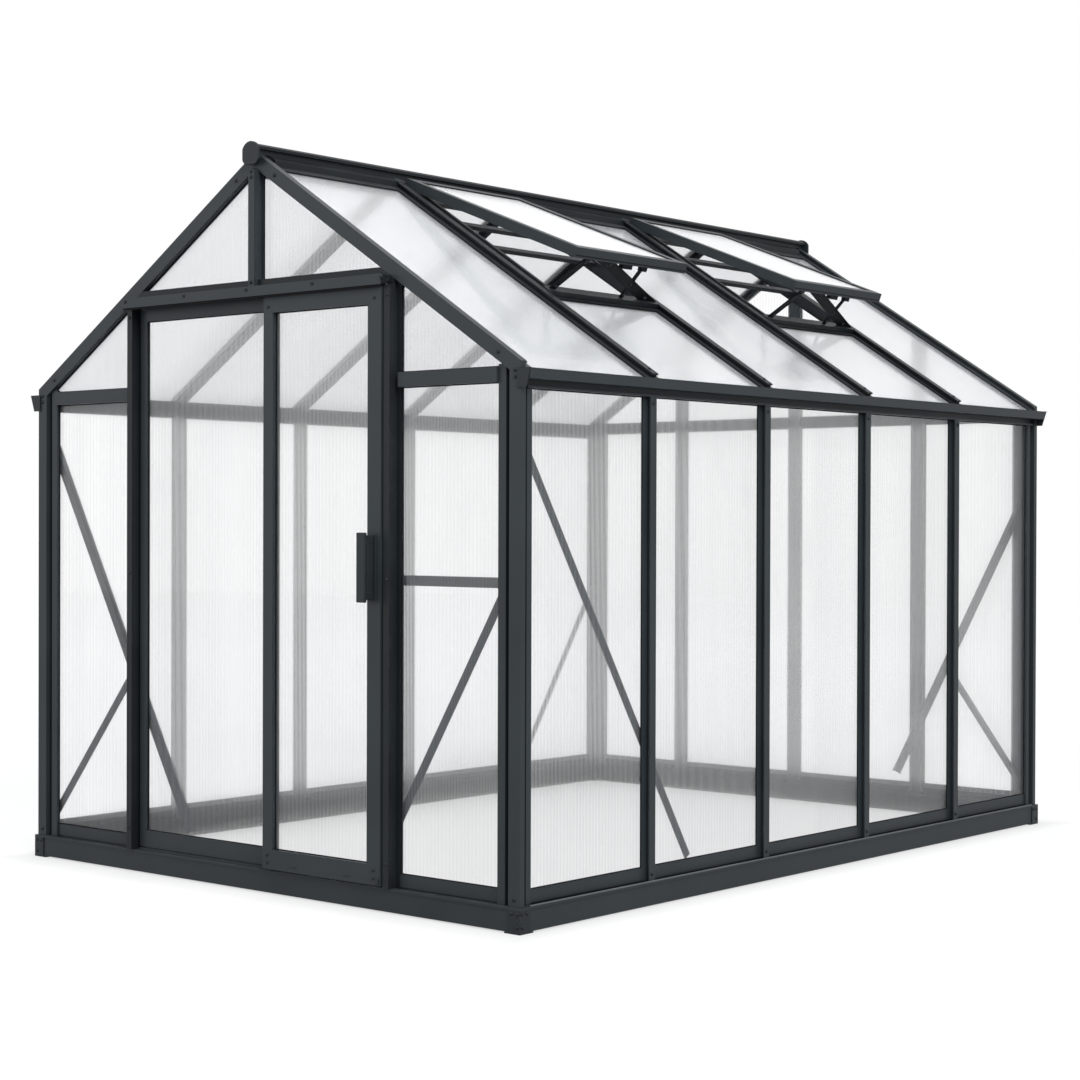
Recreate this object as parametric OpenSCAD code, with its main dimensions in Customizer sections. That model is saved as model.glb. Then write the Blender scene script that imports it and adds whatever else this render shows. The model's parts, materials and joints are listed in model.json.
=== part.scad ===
// Walk-in greenhouse: powder-coated glazing bars and twin-wall sheets on a folded base ring,
// with a hung sliding door in the front gable and two roof vents that stand open.
// Frame: +Z up, front gable towards -Y, origin on the ground at the centre of the base ring.

/* [Overall] */
// Width over the base ring
width = 2250; // [2100:10:2500]
// Length over the base ring
length = 3100; // [2800:10:3800]
// Height of the roof plane above the outer face of the base ring
eave_h = 1628; // [1580:1:1700]
// Roof pitch in degrees
pitch = 32.5; // [30:0.5:35]
// Number of bays along a side wall
side_bays = 5; // [5:1:6]

/* [Base ring] */
// Height of the base ring above the ground
base_h = 75; // [65:1:90]
// Width of the top flange of the base ring
base_flange = 60; // [56:1:80]
// Sheet thickness of the base ring
base_t = 3; // [2:0.5:4]
// Height of the rolled nosing along the top edge of the base ring
nosing_h = 7; // [5:1:10]
// Set-back of the web behind the nosing, also the thickness of the corner shoes
web_in = 4; // [3:0.5:5]
// Length of the legs of the corner shoes
shoe_leg = 46; // [36:1:60]

/* [Glazing bars] */
// Set-back of the outer faces of the frame from the base ring
face_in = 8; // [6:1:10]
// Set-back of the glazing flanges from the base ring
flange_in = 24; // [22:1:26]
// Wall of the bar flanges
bar_t = 4; // [3:0.5:4.5]
// Width of the slot that holds a sheet
slot = 6; // [5.8:0.1:7]
// Thickness of the twin-wall sheets
sheet_t = 5.4; // [4:0.1:5.4]
// Clearance at the edge of a sheet
edge_gap = 1; // [0.5:0.1:2]
// Width of the proud cap on posts and rafters
cap_w = 30; // [26:1:34]
// Thickness of the cap
cap_t = 5; // [4:0.5:6]
// Width of the neck that carries the cap
neck_w = 14; // [10:1:18]
// Width over the glazing flanges of posts and rafters
bar_w = 66; // [60:1:72]
// Depth of the stiffening rib under the roof rafters
rib_h = 20; // [14:1:24]
// Face width of corner posts, gable rafters, sills and eave bars
face_w = 44; // [40:1:48]
// Depth of the side face of a corner post
corner_face = 21; // [18:1:24]
// Width of the groove beside the front face of a corner post
corner_groove = 20; // [17:1:24]
// Width of the glazing flange beside that groove
corner_flange = 29; // [26:1:34]
// Set-back of the flanges of a corner post from its faces
corner_step = 9; // [6:1:12]

/* [Eaves and ridge] */
// Reach of the gutters beyond the base ring
gutter_out = 30; // [24:1:36]
// Height of the gutters
gutter_h = 30; // [26:1:36]
// Height of the eave beam below the gutter
plate_h = 24; // [22:1:30]
// Width of the round hood over the ridge
hood_w = 50; // [42:1:58]
// Height of the hood
hood_h = 18; // [14:1:22]
// Width of the shields over the ends of the ridge
shield_w = 73; // [64:1:82]

/* [Door] */
// Clear distance between the two door posts
door_bay = 1174; // [1120:1:1200]
// Width of a door post
door_post_w = 25; // [22:1:30]
// How far the door posts and the kingpost stand proud of the base ring
door_proud = 9; // [6:1:10]
// Depth of the header
header_h = 36; // [32:1:40]
// Width of the sliding leaf
leaf_w = 517; // [490:1:530]
// Thickness of the sliding leaf
leaf_t = 22; // [18:1:22]
// Width of the leaf's slamming stile
lock_stile_w = 56; // [48:1:62]
// Width of the leaf's other stile
stile_w = 43; // [36:1:50]
// Depth of the leaf's rails
rail_h = 62; // [54:1:70]
// Clearance round the sliding leaf
leaf_gap = 5.5; // [5:0.1:8]
// Travel of the sliding leaf, used for the joint
leaf_travel = 500; // [450:5:500]
// Length of the pull handle
handle_h = 210; // [170:5:250]
// Stand-off of the pull handle from the leaf
handle_out = 42; // [36:1:43]

/* [Roof vents] */
// Length of a vent down the slope
vent_len = 805; // [720:5:860]
// Opening angle of the vents in degrees
vent_open = 11.2; // [8:0.1:16]
// Width of the bars of a vent frame
vent_bar = 34; // [28:1:40]
// Depth of the skirt round a vent frame
vent_t = 34; // [31:1:38]

/* [Braces] */
// Width of the flat leg of the brace angles
brace_w = 28; // [22:1:32]
// Depth of their standing leg
brace_leg = 20; // [16:1:22]
// Thickness of the brace angles
brace_t = 2.5; // [2:0.5:3]

/* [Hidden] */

steel = "#3f4648";
dark = "#2b3032";
clear = [0.86, 0.89, 0.91, 0.45];
milky = [0.93, 0.95, 0.96, 0.6];

hw = width / 2;
hl = length / 2;
tanp = tan(pitch);
cosp = cos(pitch);
apex_z = eave_h + hw * tanp;
over = 200;
seat = 0.02;

// Depths from the outer face of the base ring, going in
slot_in = flange_in + bar_t;
slot_end = slot_in + slot;
back_in = slot_end + bar_t;
sheet_in = slot_in + (slot - sheet_t) / 2;
bite = 11;
lip = 12;

// The same depths below the roof plane, which runs through the outer faces
roof_flange = flange_in - face_in;
roof_slot = slot_in - face_in;
roof_slot_end = slot_end - face_in;
roof_back = back_in - face_in;

// Heights of the walls
sill_top = base_h + face_w;
sill_floor = base_h + 9;
eave_bar_top = eave_h - face_in;
eave_bar_low = eave_bar_top - face_w;
gutter_wall = 2.5;
gutter_top = eave_h - 16;
gutter_low = gutter_top - gutter_h;
plate_lip = 6;
plate_low = gutter_low - plate_h;
plate_slot = plate_low + bite + plate_lip;
end_plate = 5;

// Corner posts: grooves and flanges on the gable side and on the side wall
corner_a = face_in + face_w + corner_groove;
corner_end = corner_a + corner_flange;
corner_lip = face_in + corner_step;
corner_cap = face_in + corner_face;
corner_b = corner_cap + 16;
corner_side = corner_b + 22;
beam_in = back_in + 1;

// Side walls and slopes: the end bays are longer by the corner posts
end_extra = 12;
bay = (length - 2 * end_extra) / side_bays;
vent_bays = [1, 3];

// Gables
door_x = door_bay / 2;
post_x = door_x + door_post_w;
kingpost_w = 28;
kingpost_lip = [8, 2];
kingpost_bite = 4;
header_z = roof_z(post_x, face_w);
header_top = header_z + header_h;
rear_xs = [-post_x + cap_w / 2, 0, post_x - cap_w / 2];
wall_h = eave_bar_low - sill_top;
mid_low = sill_top + 0.593 * wall_h;
mid_z = [mid_low, mid_low + 0.7 * face_w];

// Door
leaf_in = -14;
leaf_back = leaf_in + leaf_t;
fixed_in = leaf_back + 12;
stop_t = 3;
stop_w = 14;
fixed_t = back_in - fixed_in - stop_t;
threshold_h = 7;
fixed_low = base_h + 11;
leaf_low = base_h + 7;
track_low = header_z - 20;
track_top = header_z + 12;
track_out = 30;
track_t = 3;
leaf_top = header_z - 13;
runner_z = leaf_top + 9;
leaf_x1 = door_x - leaf_gap;
leaf_x0 = leaf_x1 - leaf_w;
fixed_x = [-door_x + 10, leaf_x0 + 24];
fixed_stile = 33;
fixed_rail = 54;
wheel_r = 5.5;
handle_mid = leaf_low + 0.528 * (leaf_top - leaf_low);
handle_x = [leaf_x1 - lock_stile_w - 6, leaf_x1 - lock_stile_w + 29];
handle_plate_x = [leaf_x1 - lock_stile_w + 2, leaf_x1 - lock_stile_w + 37];
handle_leg = 28;
handle_bar = 12;

// Ridge
hood_gap = 7;
hood_z = apex_z + hood_gap + hood_h;
ridge_half = 38;
ridge_web = 12;
ridge_deep = 62;
ridge_s = ridge_half / cosp;

// Vents: x runs down the slope from the apex, heights are square to the roof plane
hinge_s = ridge_s + 8;
vent_half = bay / 2 - cap_w / 2 - 4;
vent_z = [-15, vent_t - 15];
vent_skirt = 12;
vent_flange = 15;
vent_pane = vent_z[1] - (vent_flange + sheet_t) / 2;
kerb_in = bay / 2 - bar_w / 2;
kerb_w = 13;
kerb_top = vent_z[1] - vent_flange - 1;
kerb_low = -roof_back;
vent_sill = [90, 51];
sill_s = [for (back = vent_sill) hinge_s + vent_len - back];
cross_s = [hinge_s + 0.343 * vent_len, hinge_s + 0.549 * vent_len];
cross_w = 26;
stay_t = 5;
stay_over = 60;

// Stays of a vent: width, then the places across of foot and head as parts of the half width
stays = [[28, -0.93, -0.8], [38, 0.88, -0.46], [16, 0.36, 0.24]];

// Brace ends: along the half width or the whole length, and up the wall, as fractions
front_braces = [
  [[-0.948, 0.9], [-0.307, 0.021]], [[-0.94, 0.018], [-0.587, 0.351]],
  [[0.545, 0.107], [0.909, 0.577]]
];
rear_braces = [[[0.454, 0.027], [0.952, 0.779]], [[0.679, 0.305], [0.951, 0.021]]];
right_brace = [[0.0194, 0.872], [0.273, 0.004]];
left_brace = [[0.826, 0.004], [0.983, 0.524]];

// ---- Sections and placing ----------------------------------------------------------------

// Height of a point at x that lies s below the roof plane, square to it
function roof_z(x, s) = apex_z - abs(x) * tanp - s / cosp;

// The same a hair lower, for a face that seats on another
function seat_z(x, s) = roof_z(x, s + seat);

// Position along Y of the bar line k, counted from the front gable
function bar_y(k) = -hl + end_extra + k * bay;

// Whether the right slope has a vent in bay k
function is_vent(k) = len(search(k, vent_bays)) > 0;

// A right half section followed by its mirror image
function mirrored(half) =
  concat(half, [for (i = [len(half) - 1:-1:0]) [-half[i][0], half[i][1]]]);

// Copies its children to the right and, mirrored, to the left
module both_sides() {
  children();
  mirror([1, 0, 0]) children();
}

// Copies its children to the front and, mirrored, to the rear
module both_ends() {
  children();
  mirror([0, 1, 0]) children();
}

// A rectangle given by its two ranges
module span(a, b) {
  translate([a[0], b[0]]) square([a[1] - a[0], b[1] - b[0]]);
}

// A box given by its three ranges
module block(x, y, z) {
  translate([x[0], y[0], z[0]]) cube([x[1] - x[0], y[1] - y[0], z[1] - z[0]]);
}

// Extrudes a profile drawn as (x, z) along Y
module along_y(y) {
  translate([0, y[1], 0]) rotate([90, 0, 0]) linear_extrude(y[1] - y[0]) children();
}

// Extrudes a profile drawn as (y, z) along X
module along_x(x) {
  translate([x[0], 0, 0]) rotate([90, 0, 90]) linear_extrude(x[1] - x[0]) children();
}

// Extrudes a plan upwards
module upright(z) {
  translate([0, 0, z[0]]) linear_extrude(z[1] - z[0]) children();
}

// Moves a profile or a solid drawn from the front face of the base ring to its place
module at_front() {
  translate([0, -hl, 0]) children();
}

// Turns a plan drawn as (across, depth) so that it stands at y in the right wall
module in_side_wall(y) {
  translate([hw, y, 0]) rotate(90) children();
}

// Cuts its children along both roof slopes, s below the roof plane
module cut_to_roof(s) {
  intersection() {
    children();
    along_y([-hl - over, hl + over])
      polygon([[-hw, 0], [hw, 0], [hw, seat_z(hw, s)], [0, seat_z(0, s)], [-hw, seat_z(hw, s)]]);
  }
}

// Places its children on the right slope: x runs down the slope, z is square to it
module on_slope() {
  translate([0, 0, apex_z]) rotate([0, pitch, 0]) children();
}

// Keeps the stretch of its children between two plumb planes
module between_x(x) {
  intersection() {
    children();
    block(x, [-hl - over, hl + over], [0, apex_z + over]);
  }
}

// Section of a glazing bar, drawn as (across, depth), with a slot for a sheet on each side
module bar_section(rib) {
  polygon(mirrored([
    [cap_w / 2, face_in],
    [cap_w / 2, face_in + cap_t],
    [neck_w / 2, face_in + cap_t],
    [neck_w / 2, flange_in],
    [bar_w / 2, flange_in],
    [bar_w / 2, slot_in],
    [bar_t / 2, slot_in],
    [bar_t / 2, slot_end],
    [bar_w / 2 - bite, slot_end],
    [bar_w / 2 - bite, back_in],
    [bar_t, back_in],
    [bar_t, back_in + rib]
  ]));
}

// Section of a bar with a flush face, drawn as (depth, height), slotted above or below
module face_section(low, high, slot_low, slot_high) {
  difference() {
    span([face_in, back_in], [low, high]);
    if (slot_low) span([slot_in, slot_end], [low - 1, low + bite]);
    if (slot_high) span([slot_in, slot_end], [high - bite, high + 1]);
  }
}

// A sheet in the plane of the front gable, over the range x and z
module gable_pane(x, z) {
  at_front() block(x, [sheet_in, sheet_in + sheet_t], z);
}

// ---- Base ring ---------------------------------------------------------------------------

// Section of the base ring, drawn as (depth, height)
module base_section() {
  difference() {
    union() {
      span([web_in, base_flange], [web_in, base_h]);
      span([0, web_in + base_t], [base_h - nosing_h, base_h]);
    }
    span([web_in + base_t, base_flange - base_t], [web_in + base_t, base_h - base_t]);
    span([base_flange - base_t - 1, base_flange + 1], [web_in - 1, base_h - 4 * base_t]);
  }
}

// A beam of the base ring, of the given half length, mitred at both ends
module base_beam(half, from) {
  intersection() {
    translate([0, -from, 0]) along_x([-half, half]) base_section();
    upright([0, base_h])
      polygon([[-half, -from], [half, -from], [half - from, 0], [from - half, 0]]);
  }
}

module base_gables() {
  color(steel) both_ends() at_front() translate([0, hw, 0]) base_beam(hw, hw);
}

module base_sides() {
  color(steel) both_sides() rotate(90) base_beam(hl, hw);
}

// Angle plates in the recess of the web, with a foot under the beams
module corner_shoes() {
  color(dark)
    both_sides() both_ends() translate([hw, -hl, 0]) {
      block([-shoe_leg, 0], [0, web_in], [0, base_h - nosing_h]);
      block([-web_in, 0], [0, shoe_leg], [0, base_h - nosing_h]);
      block([-base_flange, 0], [0, base_flange], [0, web_in]);
    }
}

// ---- Wall frame --------------------------------------------------------------------------

// Section of a sill rail, drawn as (depth, height): drip edge, sheet slot and inner lip
module sill_section() {
  polygon([
    [slot_in + 1, base_h], [back_in + lip, base_h], [back_in + lip, sill_floor],
    [back_in, sill_floor], [back_in, sill_floor + 20], [slot_end, sill_floor + 20],
    [slot_end, sill_floor], [slot_in, sill_floor], [slot_in, sill_top],
    [flange_in, sill_top], [flange_in, base_h + 5], [slot_in + 1, base_h + 5]
  ]);
}

module sill_rails_gables() {
  half_bar = bar_w / 2;
  color(steel) {
    both_sides() at_front() along_x([post_x + 18, hw - corner_end]) sill_section();
    mirror([0, 1, 0]) both_sides() at_front() {
      along_x([half_bar, rear_xs[2] - half_bar]) sill_section();
      along_x([rear_xs[2] + half_bar, hw - corner_end]) sill_section();
    }
  }
}

// Range along Y of a side bay, set back by its own end and by half a bar
function bay_range(k, at_corner, at_bar) = [
  k == 0 ? -hl + at_corner : bar_y(k) + at_bar,
  k == side_bays - 1 ? hl - at_corner : bar_y(k + 1) - at_bar
];

module sill_rails_sides() {
  color(steel)
    both_sides()
      for (k = [0:side_bays - 1]) {
        y = bay_range(k, corner_side, bar_w / 2);
        translate([hw, 0, 0]) mirror([1, 0, 0]) along_y(y) sill_section();
      }
}

// Plan of the corner post, drawn as (depth from the side wall, depth from the gable): a
// hollow corner with a groove and a stepped flange along each wall
module corner_plan() {
  face_end = face_in + face_w;
  difference() {
    polygon([
      [face_in, face_in], [face_end, face_in], [face_end, slot_end], [corner_a, slot_end],
      [corner_a, corner_lip], [corner_end, corner_lip], [corner_end, slot_in],
      [corner_a + bar_t, slot_in], [corner_a + bar_t, slot_end], [corner_end - 7, slot_end],
      [corner_end - 7, back_in], [back_in, back_in], [back_in, corner_side - bar_t],
      [slot_end, corner_side - bar_t], [slot_end, corner_b + bar_t],
      [slot_in, corner_b + bar_t], [slot_in, corner_side], [corner_lip, corner_side],
      [corner_lip, corner_b], [slot_end, corner_b], [slot_end, corner_cap],
      [face_in, corner_cap]
    ]);
    polygon([
      [face_in + bar_t, face_in + bar_t], [face_end - bar_t, face_in + bar_t],
      [face_end - bar_t, slot_end], [back_in, slot_end], [back_in, corner_cap - bar_t],
      [face_in + bar_t, corner_cap - bar_t]
    ]);
  }
}

module corner_posts() {
  color(steel)
    both_sides() both_ends() cut_to_roof(face_w) {
      translate([hw, -hl, 0]) mirror([1, 0, 0])
        difference() {
          upright([base_h, eave_h]) corner_plan();
          block([0, beam_in], [beam_in, corner_side + 1], [plate_low, eave_h + 1]);
        }
    }
}

module side_posts(side) {
  color(steel)
    mirror([side < 0 ? 1 : 0, 0, 0])
      for (k = [1:side_bays - 1])
        in_side_wall(bar_y(k)) upright([base_h, plate_low]) bar_section(0);
}

// Plan of the right door post: sheet lips outwards, a recess and a stop towards the opening
module door_post_plan() {
  difference() {
    union() {
      span([door_x, post_x], [-door_proud, back_in]);
      span([post_x, post_x + 18], [flange_in, back_in]);
      span([door_x - stop_w, door_x], [back_in - stop_t, back_in]);
    }
    span([post_x, post_x + 19], [slot_in, slot_end]);
    span([door_x - 1, door_x + 5], [leaf_back + 3, back_in - 8]);
  }
}

module door_posts() {
  color(steel)
    both_sides() cut_to_roof(face_w) at_front()
      difference() {
        upright([base_h, header_z]) door_post_plan();
        block([door_x - 1, post_x + 1], [-door_proud - 1, face_in], [track_low, header_z + 1]);
      }
}

module rear_posts() {
  color(steel)
    cut_to_roof(face_w) mirror([0, 1, 0]) at_front()
      for (x = rear_xs)
        translate([x, 0, 0]) upright([base_h, apex_z]) bar_section(0);
}

module gable_eave_bars() {
  half_bar = bar_w / 2;
  color(steel)
    cut_to_roof(face_w) {
      both_sides() at_front()
        along_x([post_x + 18, hw - corner_end])
          face_section(eave_bar_low, eave_bar_top, true, true);
      mirror([0, 1, 0]) both_sides() at_front() {
        along_x([half_bar, rear_xs[2] - half_bar])
          face_section(eave_bar_low, eave_bar_top, true, true);
        along_x([rear_xs[2] + half_bar, hw - corner_end])
          face_section(eave_bar_low, eave_bar_top, true, true);
      }
    }
}

// Stiffening angle inside the sheet of the front right bay
module mid_rail() {
  color(steel)
    at_front() along_x([post_x - 10, hw - corner_end + 12])
      difference() {
        span([back_in, back_in + lip], mid_z);
        span([back_in + brace_t, back_in + lip + 1], [mid_z[0] - 1, mid_z[1] - brace_t]);
      }
}

// ---- Roof frame --------------------------------------------------------------------------

// Section of a gable rafter, drawn as (depth, height above the roof plane)
module rafter_section() {
  polygon([
    [face_in, 0], [slot_end, 0], [slot_end, -cap_t], [slot_in, -cap_t],
    [slot_in, -roof_flange], [back_in + 20, -roof_flange], [back_in + 20, -roof_slot],
    [back_in, -roof_slot], [back_in, -roof_slot_end], [back_in + 14, -roof_slot_end],
    [back_in + 14, -roof_back], [back_in, -roof_back], [back_in, -face_w],
    [slot_end, -face_w], [slot_end, -face_w + bite], [slot_in, -face_w + bite],
    [slot_in, -face_w], [face_in, -face_w]
  ]);
}

module gable_rafters(side) {
  color(steel)
    both_ends() mirror([side < 0 ? 1 : 0, 0, 0]) between_x([0, hw - face_in])
      on_slope() at_front() along_x([-over, hw / cosp]) rafter_section();
}

// Intermediate rafters of the right slope: the rib stops short of the eave beam
module roof_rafters(side) {
  color(steel)
    mirror([side < 0 ? 1 : 0, 0, 0])
      for (k = [1:side_bays - 1]) {
        between_x([ridge_half, hw - back_in]) rafter_bar(bar_y(k), rib_h);
        between_x([hw - back_in, hw - 2]) rafter_bar(bar_y(k), 0);
      }
}

module rafter_bar(y, rib) {
  on_slope() translate([0, y, face_in])
    rotate([0, 90, 0]) rotate(90) linear_extrude(hw / cosp)
      mirror([0, 1]) bar_section(rib);
}

// Section of the ridge: a round hood on a neck, over skirts that meet the rafters
module hood_section() {
  difference() {
    polygon(mirrored([
      [0.18 * hood_w, hood_z], [0.36 * hood_w, hood_z - hood_h / 6],
      [hood_w / 2, hood_z - hood_h / 2], [hood_w / 2, apex_z + hood_gap],
      [neck_w, apex_z + hood_gap], [neck_w, roof_z(neck_w, 0)]
    ]));
    polygon(mirrored([[0, apex_z + seat], [over, roof_z(over, 0) + seat]]));
  }
}

module skirt_section() {
  polygon(mirrored([
    [neck_w, apex_z + 1], [neck_w, roof_z(neck_w, 0)], [ridge_half, roof_z(ridge_half, 0)],
    [ridge_half, roof_z(ridge_half, roof_back)],
    [ridge_half - ridge_web, roof_z(ridge_half - ridge_web, roof_back)],
    [ridge_half - ridge_web, apex_z - ridge_deep]
  ]));
}

// One lip of the ridge on the right slope, between the depths s
module ridge_lip(reach, s) {
  polygon([
    [ridge_half - 1, roof_z(ridge_half - 1, s[0])], [reach, roof_z(reach, s[0])],
    [reach, roof_z(reach, s[1])], [ridge_half - 1, roof_z(ridge_half - 1, s[1])]
  ]);
}

module ridge_beam() {
  inner = back_in + rib_h;
  color(steel) {
    along_y([-hl - 5, hl + 5]) hood_section();
    along_y([inner - hl, hl - inner]) skirt_section();
    for (side = [0, 1], k = [0:side_bays - 1])
      if (side == 1 || !is_vent(k))
        mirror([side, 0, 0]) along_y(bay_range(k, inner, bar_w / 2)) {
          ridge_lip(ridge_half + 22, [roof_flange, roof_slot]);
          ridge_lip(ridge_half + 16, [roof_slot_end, roof_back]);
        }
  }
}

// Domed shields over the ends of the ridge
module ridge_caps() {
  top = hood_z + 6;
  low = top - shield_w;
  color(dark)
    both_ends() at_front() along_y([-door_proud - cap_t, -cap_t])
      intersection() {
        translate([0, top - 0.55 * shield_w]) circle(r = 0.55 * shield_w, $fn = 64);
        span([-shield_w / 2, shield_w / 2], [low, top]);
      }
}

// Section of the eave beam, drawn as (depth, height)
module eave_section() {
  polygon([
    [face_in, plate_low], [slot_in, plate_low], [slot_in, plate_slot],
    [slot_end, plate_slot], [slot_end, plate_low], [back_in, plate_low],
    [back_in, seat_z(hw - back_in, roof_back)], [face_in, seat_z(hw - face_in, roof_back)],
    [face_in, gutter_low], [20, gutter_low], [20, plate_low + plate_lip],
    [face_in, plate_low + plate_lip]
  ]);
}

module eave_beams() {
  color(steel)
    both_sides() translate([hw, 0, 0]) mirror([1, 0, 0])
      along_y([beam_in - hl, hl - beam_in]) eave_section();
}

// Section of the gutter, drawn as (depth, height)
module gutter_section() {
  polygon([
    [-gutter_out, gutter_top], [6 - gutter_out, gutter_low], [face_in, gutter_low],
    [face_in, gutter_low + gutter_h / 3], [face_in - gutter_wall, gutter_low + gutter_h / 3],
    [face_in - gutter_wall, gutter_low + gutter_wall],
    [6 + gutter_wall - gutter_out, gutter_low + gutter_wall],
    [3 - gutter_out, gutter_top - 3], [8 - gutter_out, gutter_top - 3],
    [8 - gutter_out, gutter_top]
  ]);
}

module gutter(side) {
  color(steel)
    mirror([side < 0 ? 1 : 0, 0, 0]) translate([hw, 0, 0]) mirror([1, 0, 0])
      along_y([face_in - hl, hl - face_in]) gutter_section();
}

module gutter_caps() {
  color(dark)
    both_sides() both_ends() translate([hw, -hl, 0]) mirror([1, 0, 0])
      along_y([face_in - end_plate, face_in])
        polygon([
          [-gutter_out - 1, gutter_top + 1], [-12, plate_low - 1],
          [20, plate_low - 1], [20, gutter_top + 1]
        ]);
}

// ---- Door surround -----------------------------------------------------------------------

module door_header() {
  color(steel)
    cut_to_roof(face_w) at_front() along_x([-post_x, post_x])
      face_section(header_z, header_top, false, true);
}

// Hood track: apron in front, back plate on the header and a runner lip between them
module door_track() {
  color(steel)
    at_front() along_x([-post_x - 1, door_x + 6])
      difference() {
        span([-track_out, face_in], [track_low, track_top]);
        span([track_t - track_out, face_in + 1], [track_low - 1, runner_z - track_t]);
        span([track_t - track_out, -4], [runner_z - track_t - 1, track_top - track_t]);
        span([-5, face_in - track_t], [runner_z, track_top - track_t]);
      }
}

module door_threshold() {
  color(steel)
    at_front() along_x([stop_w - door_x, door_x - stop_w]) {
      span([leaf_back + 5, base_flange - 2], [base_h, base_h + threshold_h]);
      span([fixed_in + 4, back_in - 2], [base_h, fixed_low]);
    }
}

module kingpost() {
  half = kingpost_w / 2;
  color(steel)
    cut_to_roof(face_w) at_front() {
      upright([header_top, apex_z])
        polygon(mirrored([
          [half, face_in], [half, flange_in], [half + kingpost_lip[0], flange_in],
          [half + kingpost_lip[0], slot_in], [half - kingpost_bite, slot_in],
          [half - kingpost_bite, slot_end], [half + kingpost_lip[1], slot_end],
          [half + kingpost_lip[1], back_in]
        ]));
      upright([track_top, apex_z]) span([-half, half], [-door_proud, face_in]);
    }
}

// A frame in the gable's plane: stiles and rails round a grooved opening
module fixed_panel_frame() {
  y = [fixed_in, fixed_in + fixed_t];
  inner_x = [fixed_x[0] + fixed_stile, fixed_x[1] - fixed_stile];
  inner_z = [fixed_low + fixed_rail, header_z - fixed_rail - 10];
  color(steel)
    at_front() difference() {
      block(fixed_x, y, [fixed_low, header_z]);
      block(inner_x, [y[0] - 1, y[1] + 1], inner_z);
      block([inner_x[0] - bite, inner_x[1] + bite], [sheet_in - 0.3, sheet_in + sheet_t + 0.3],
            [inner_z[0] - bite, inner_z[1] + bite]);
    }
}

module fixed_panel_sheet() {
  grip = bite - edge_gap;
  color(clear)
    gable_pane([fixed_x[0] + fixed_stile - grip, fixed_x[1] - fixed_stile + grip],
               [fixed_low + fixed_rail - grip, header_z - fixed_rail - 10 + grip]);
}

// ---- Sheets ------------------------------------------------------------------------------

module wall_sheets_gables() {
  edge = bar_t / 2 + edge_gap;
  end_x = hw - corner_a - bar_t - edge_gap;
  z = [sill_floor + edge_gap, eave_bar_low + bite - edge_gap];
  color(clear) {
    both_sides() gable_pane([post_x + edge_gap, end_x], z);
    mirror([0, 1, 0]) both_sides() {
      gable_pane([edge, rear_xs[2] - edge], z);
      gable_pane([rear_xs[2] + edge, end_x], z);
    }
  }
}

module wall_sheets_side(side) {
  color(clear)
    mirror([side < 0 ? 1 : 0, 0, 0])
      for (k = [0:side_bays - 1])
        block([hw - sheet_in - sheet_t, hw - sheet_in],
              bay_range(k, corner_b + bar_t + edge_gap, bar_t / 2 + edge_gap),
              [sill_floor + edge_gap, plate_slot - edge_gap]);
}

// Panes above the header and the eave bars, cut along the slot of the gable rafters
module gable_sheets() {
  low = eave_bar_top - bite + edge_gap;
  edge = bar_t / 2 + edge_gap;
  pane_s = face_w - bite + edge_gap;
  color(clear)
    cut_to_roof(pane_s) {
      both_sides()
        gable_pane([kingpost_w / 2 - kingpost_bite + edge_gap, post_x],
                   [header_top - bite + edge_gap, apex_z]);
      both_sides() gable_pane([post_x + edge_gap, hw - corner_a - bar_t], [low, header_z - 30]);
      mirror([0, 1, 0]) both_sides() {
        gable_pane([edge, rear_xs[2] - edge], [low, apex_z]);
        gable_pane([rear_xs[2] + edge, hw - corner_a - bar_t], [low, apex_z]);
      }
    }
}

// A roof sheet of the right slope over the plumb range x and the range y
module roof_pane(x, y) {
  between_x(x) on_slope()
    block([0, hw / cosp], y, [face_in - sheet_in - sheet_t, face_in - sheet_in]);
}

module roof_sheets_left() {
  edge = bar_t / 2 + edge_gap;
  color(milky)
    mirror([1, 0, 0])
      for (k = [0:side_bays - 1])
        roof_pane([ridge_half + edge_gap, hw + 2], bay_range(k, back_in + edge_gap, edge));
}

module roof_sheets_right() {
  edge = bar_t / 2 + edge_gap;
  top = ridge_half + edge_gap;
  low = (sill_s[1] - 3) * cosp - (roof_slot + slot / 2) * sin(pitch);
  color(milky)
    for (k = [0:side_bays - 1])
      roof_pane([is_vent(k) ? low : top, hw + 2],
                bay_range(k, back_in + edge_gap, edge));
}

// ---- Roof vents --------------------------------------------------------------------------

// Places its children on the right slope at the middle of each vent bay
module at_vents() {
  on_slope()
    for (k = vent_bays)
      translate([0, bar_y(k) + bay / 2, 0]) children();
}

// Swings its children about the hinge line of a vent
module vent_swing() {
  translate([hinge_s, 0, 0]) rotate([0, -vent_open, 0]) children();
}

// Height of the underside of an open vent's skirt at x, square to the slope
function vent_under(x) = (x - hinge_s) * tan(vent_open) + vent_z[0] / cos(vent_open);

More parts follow.
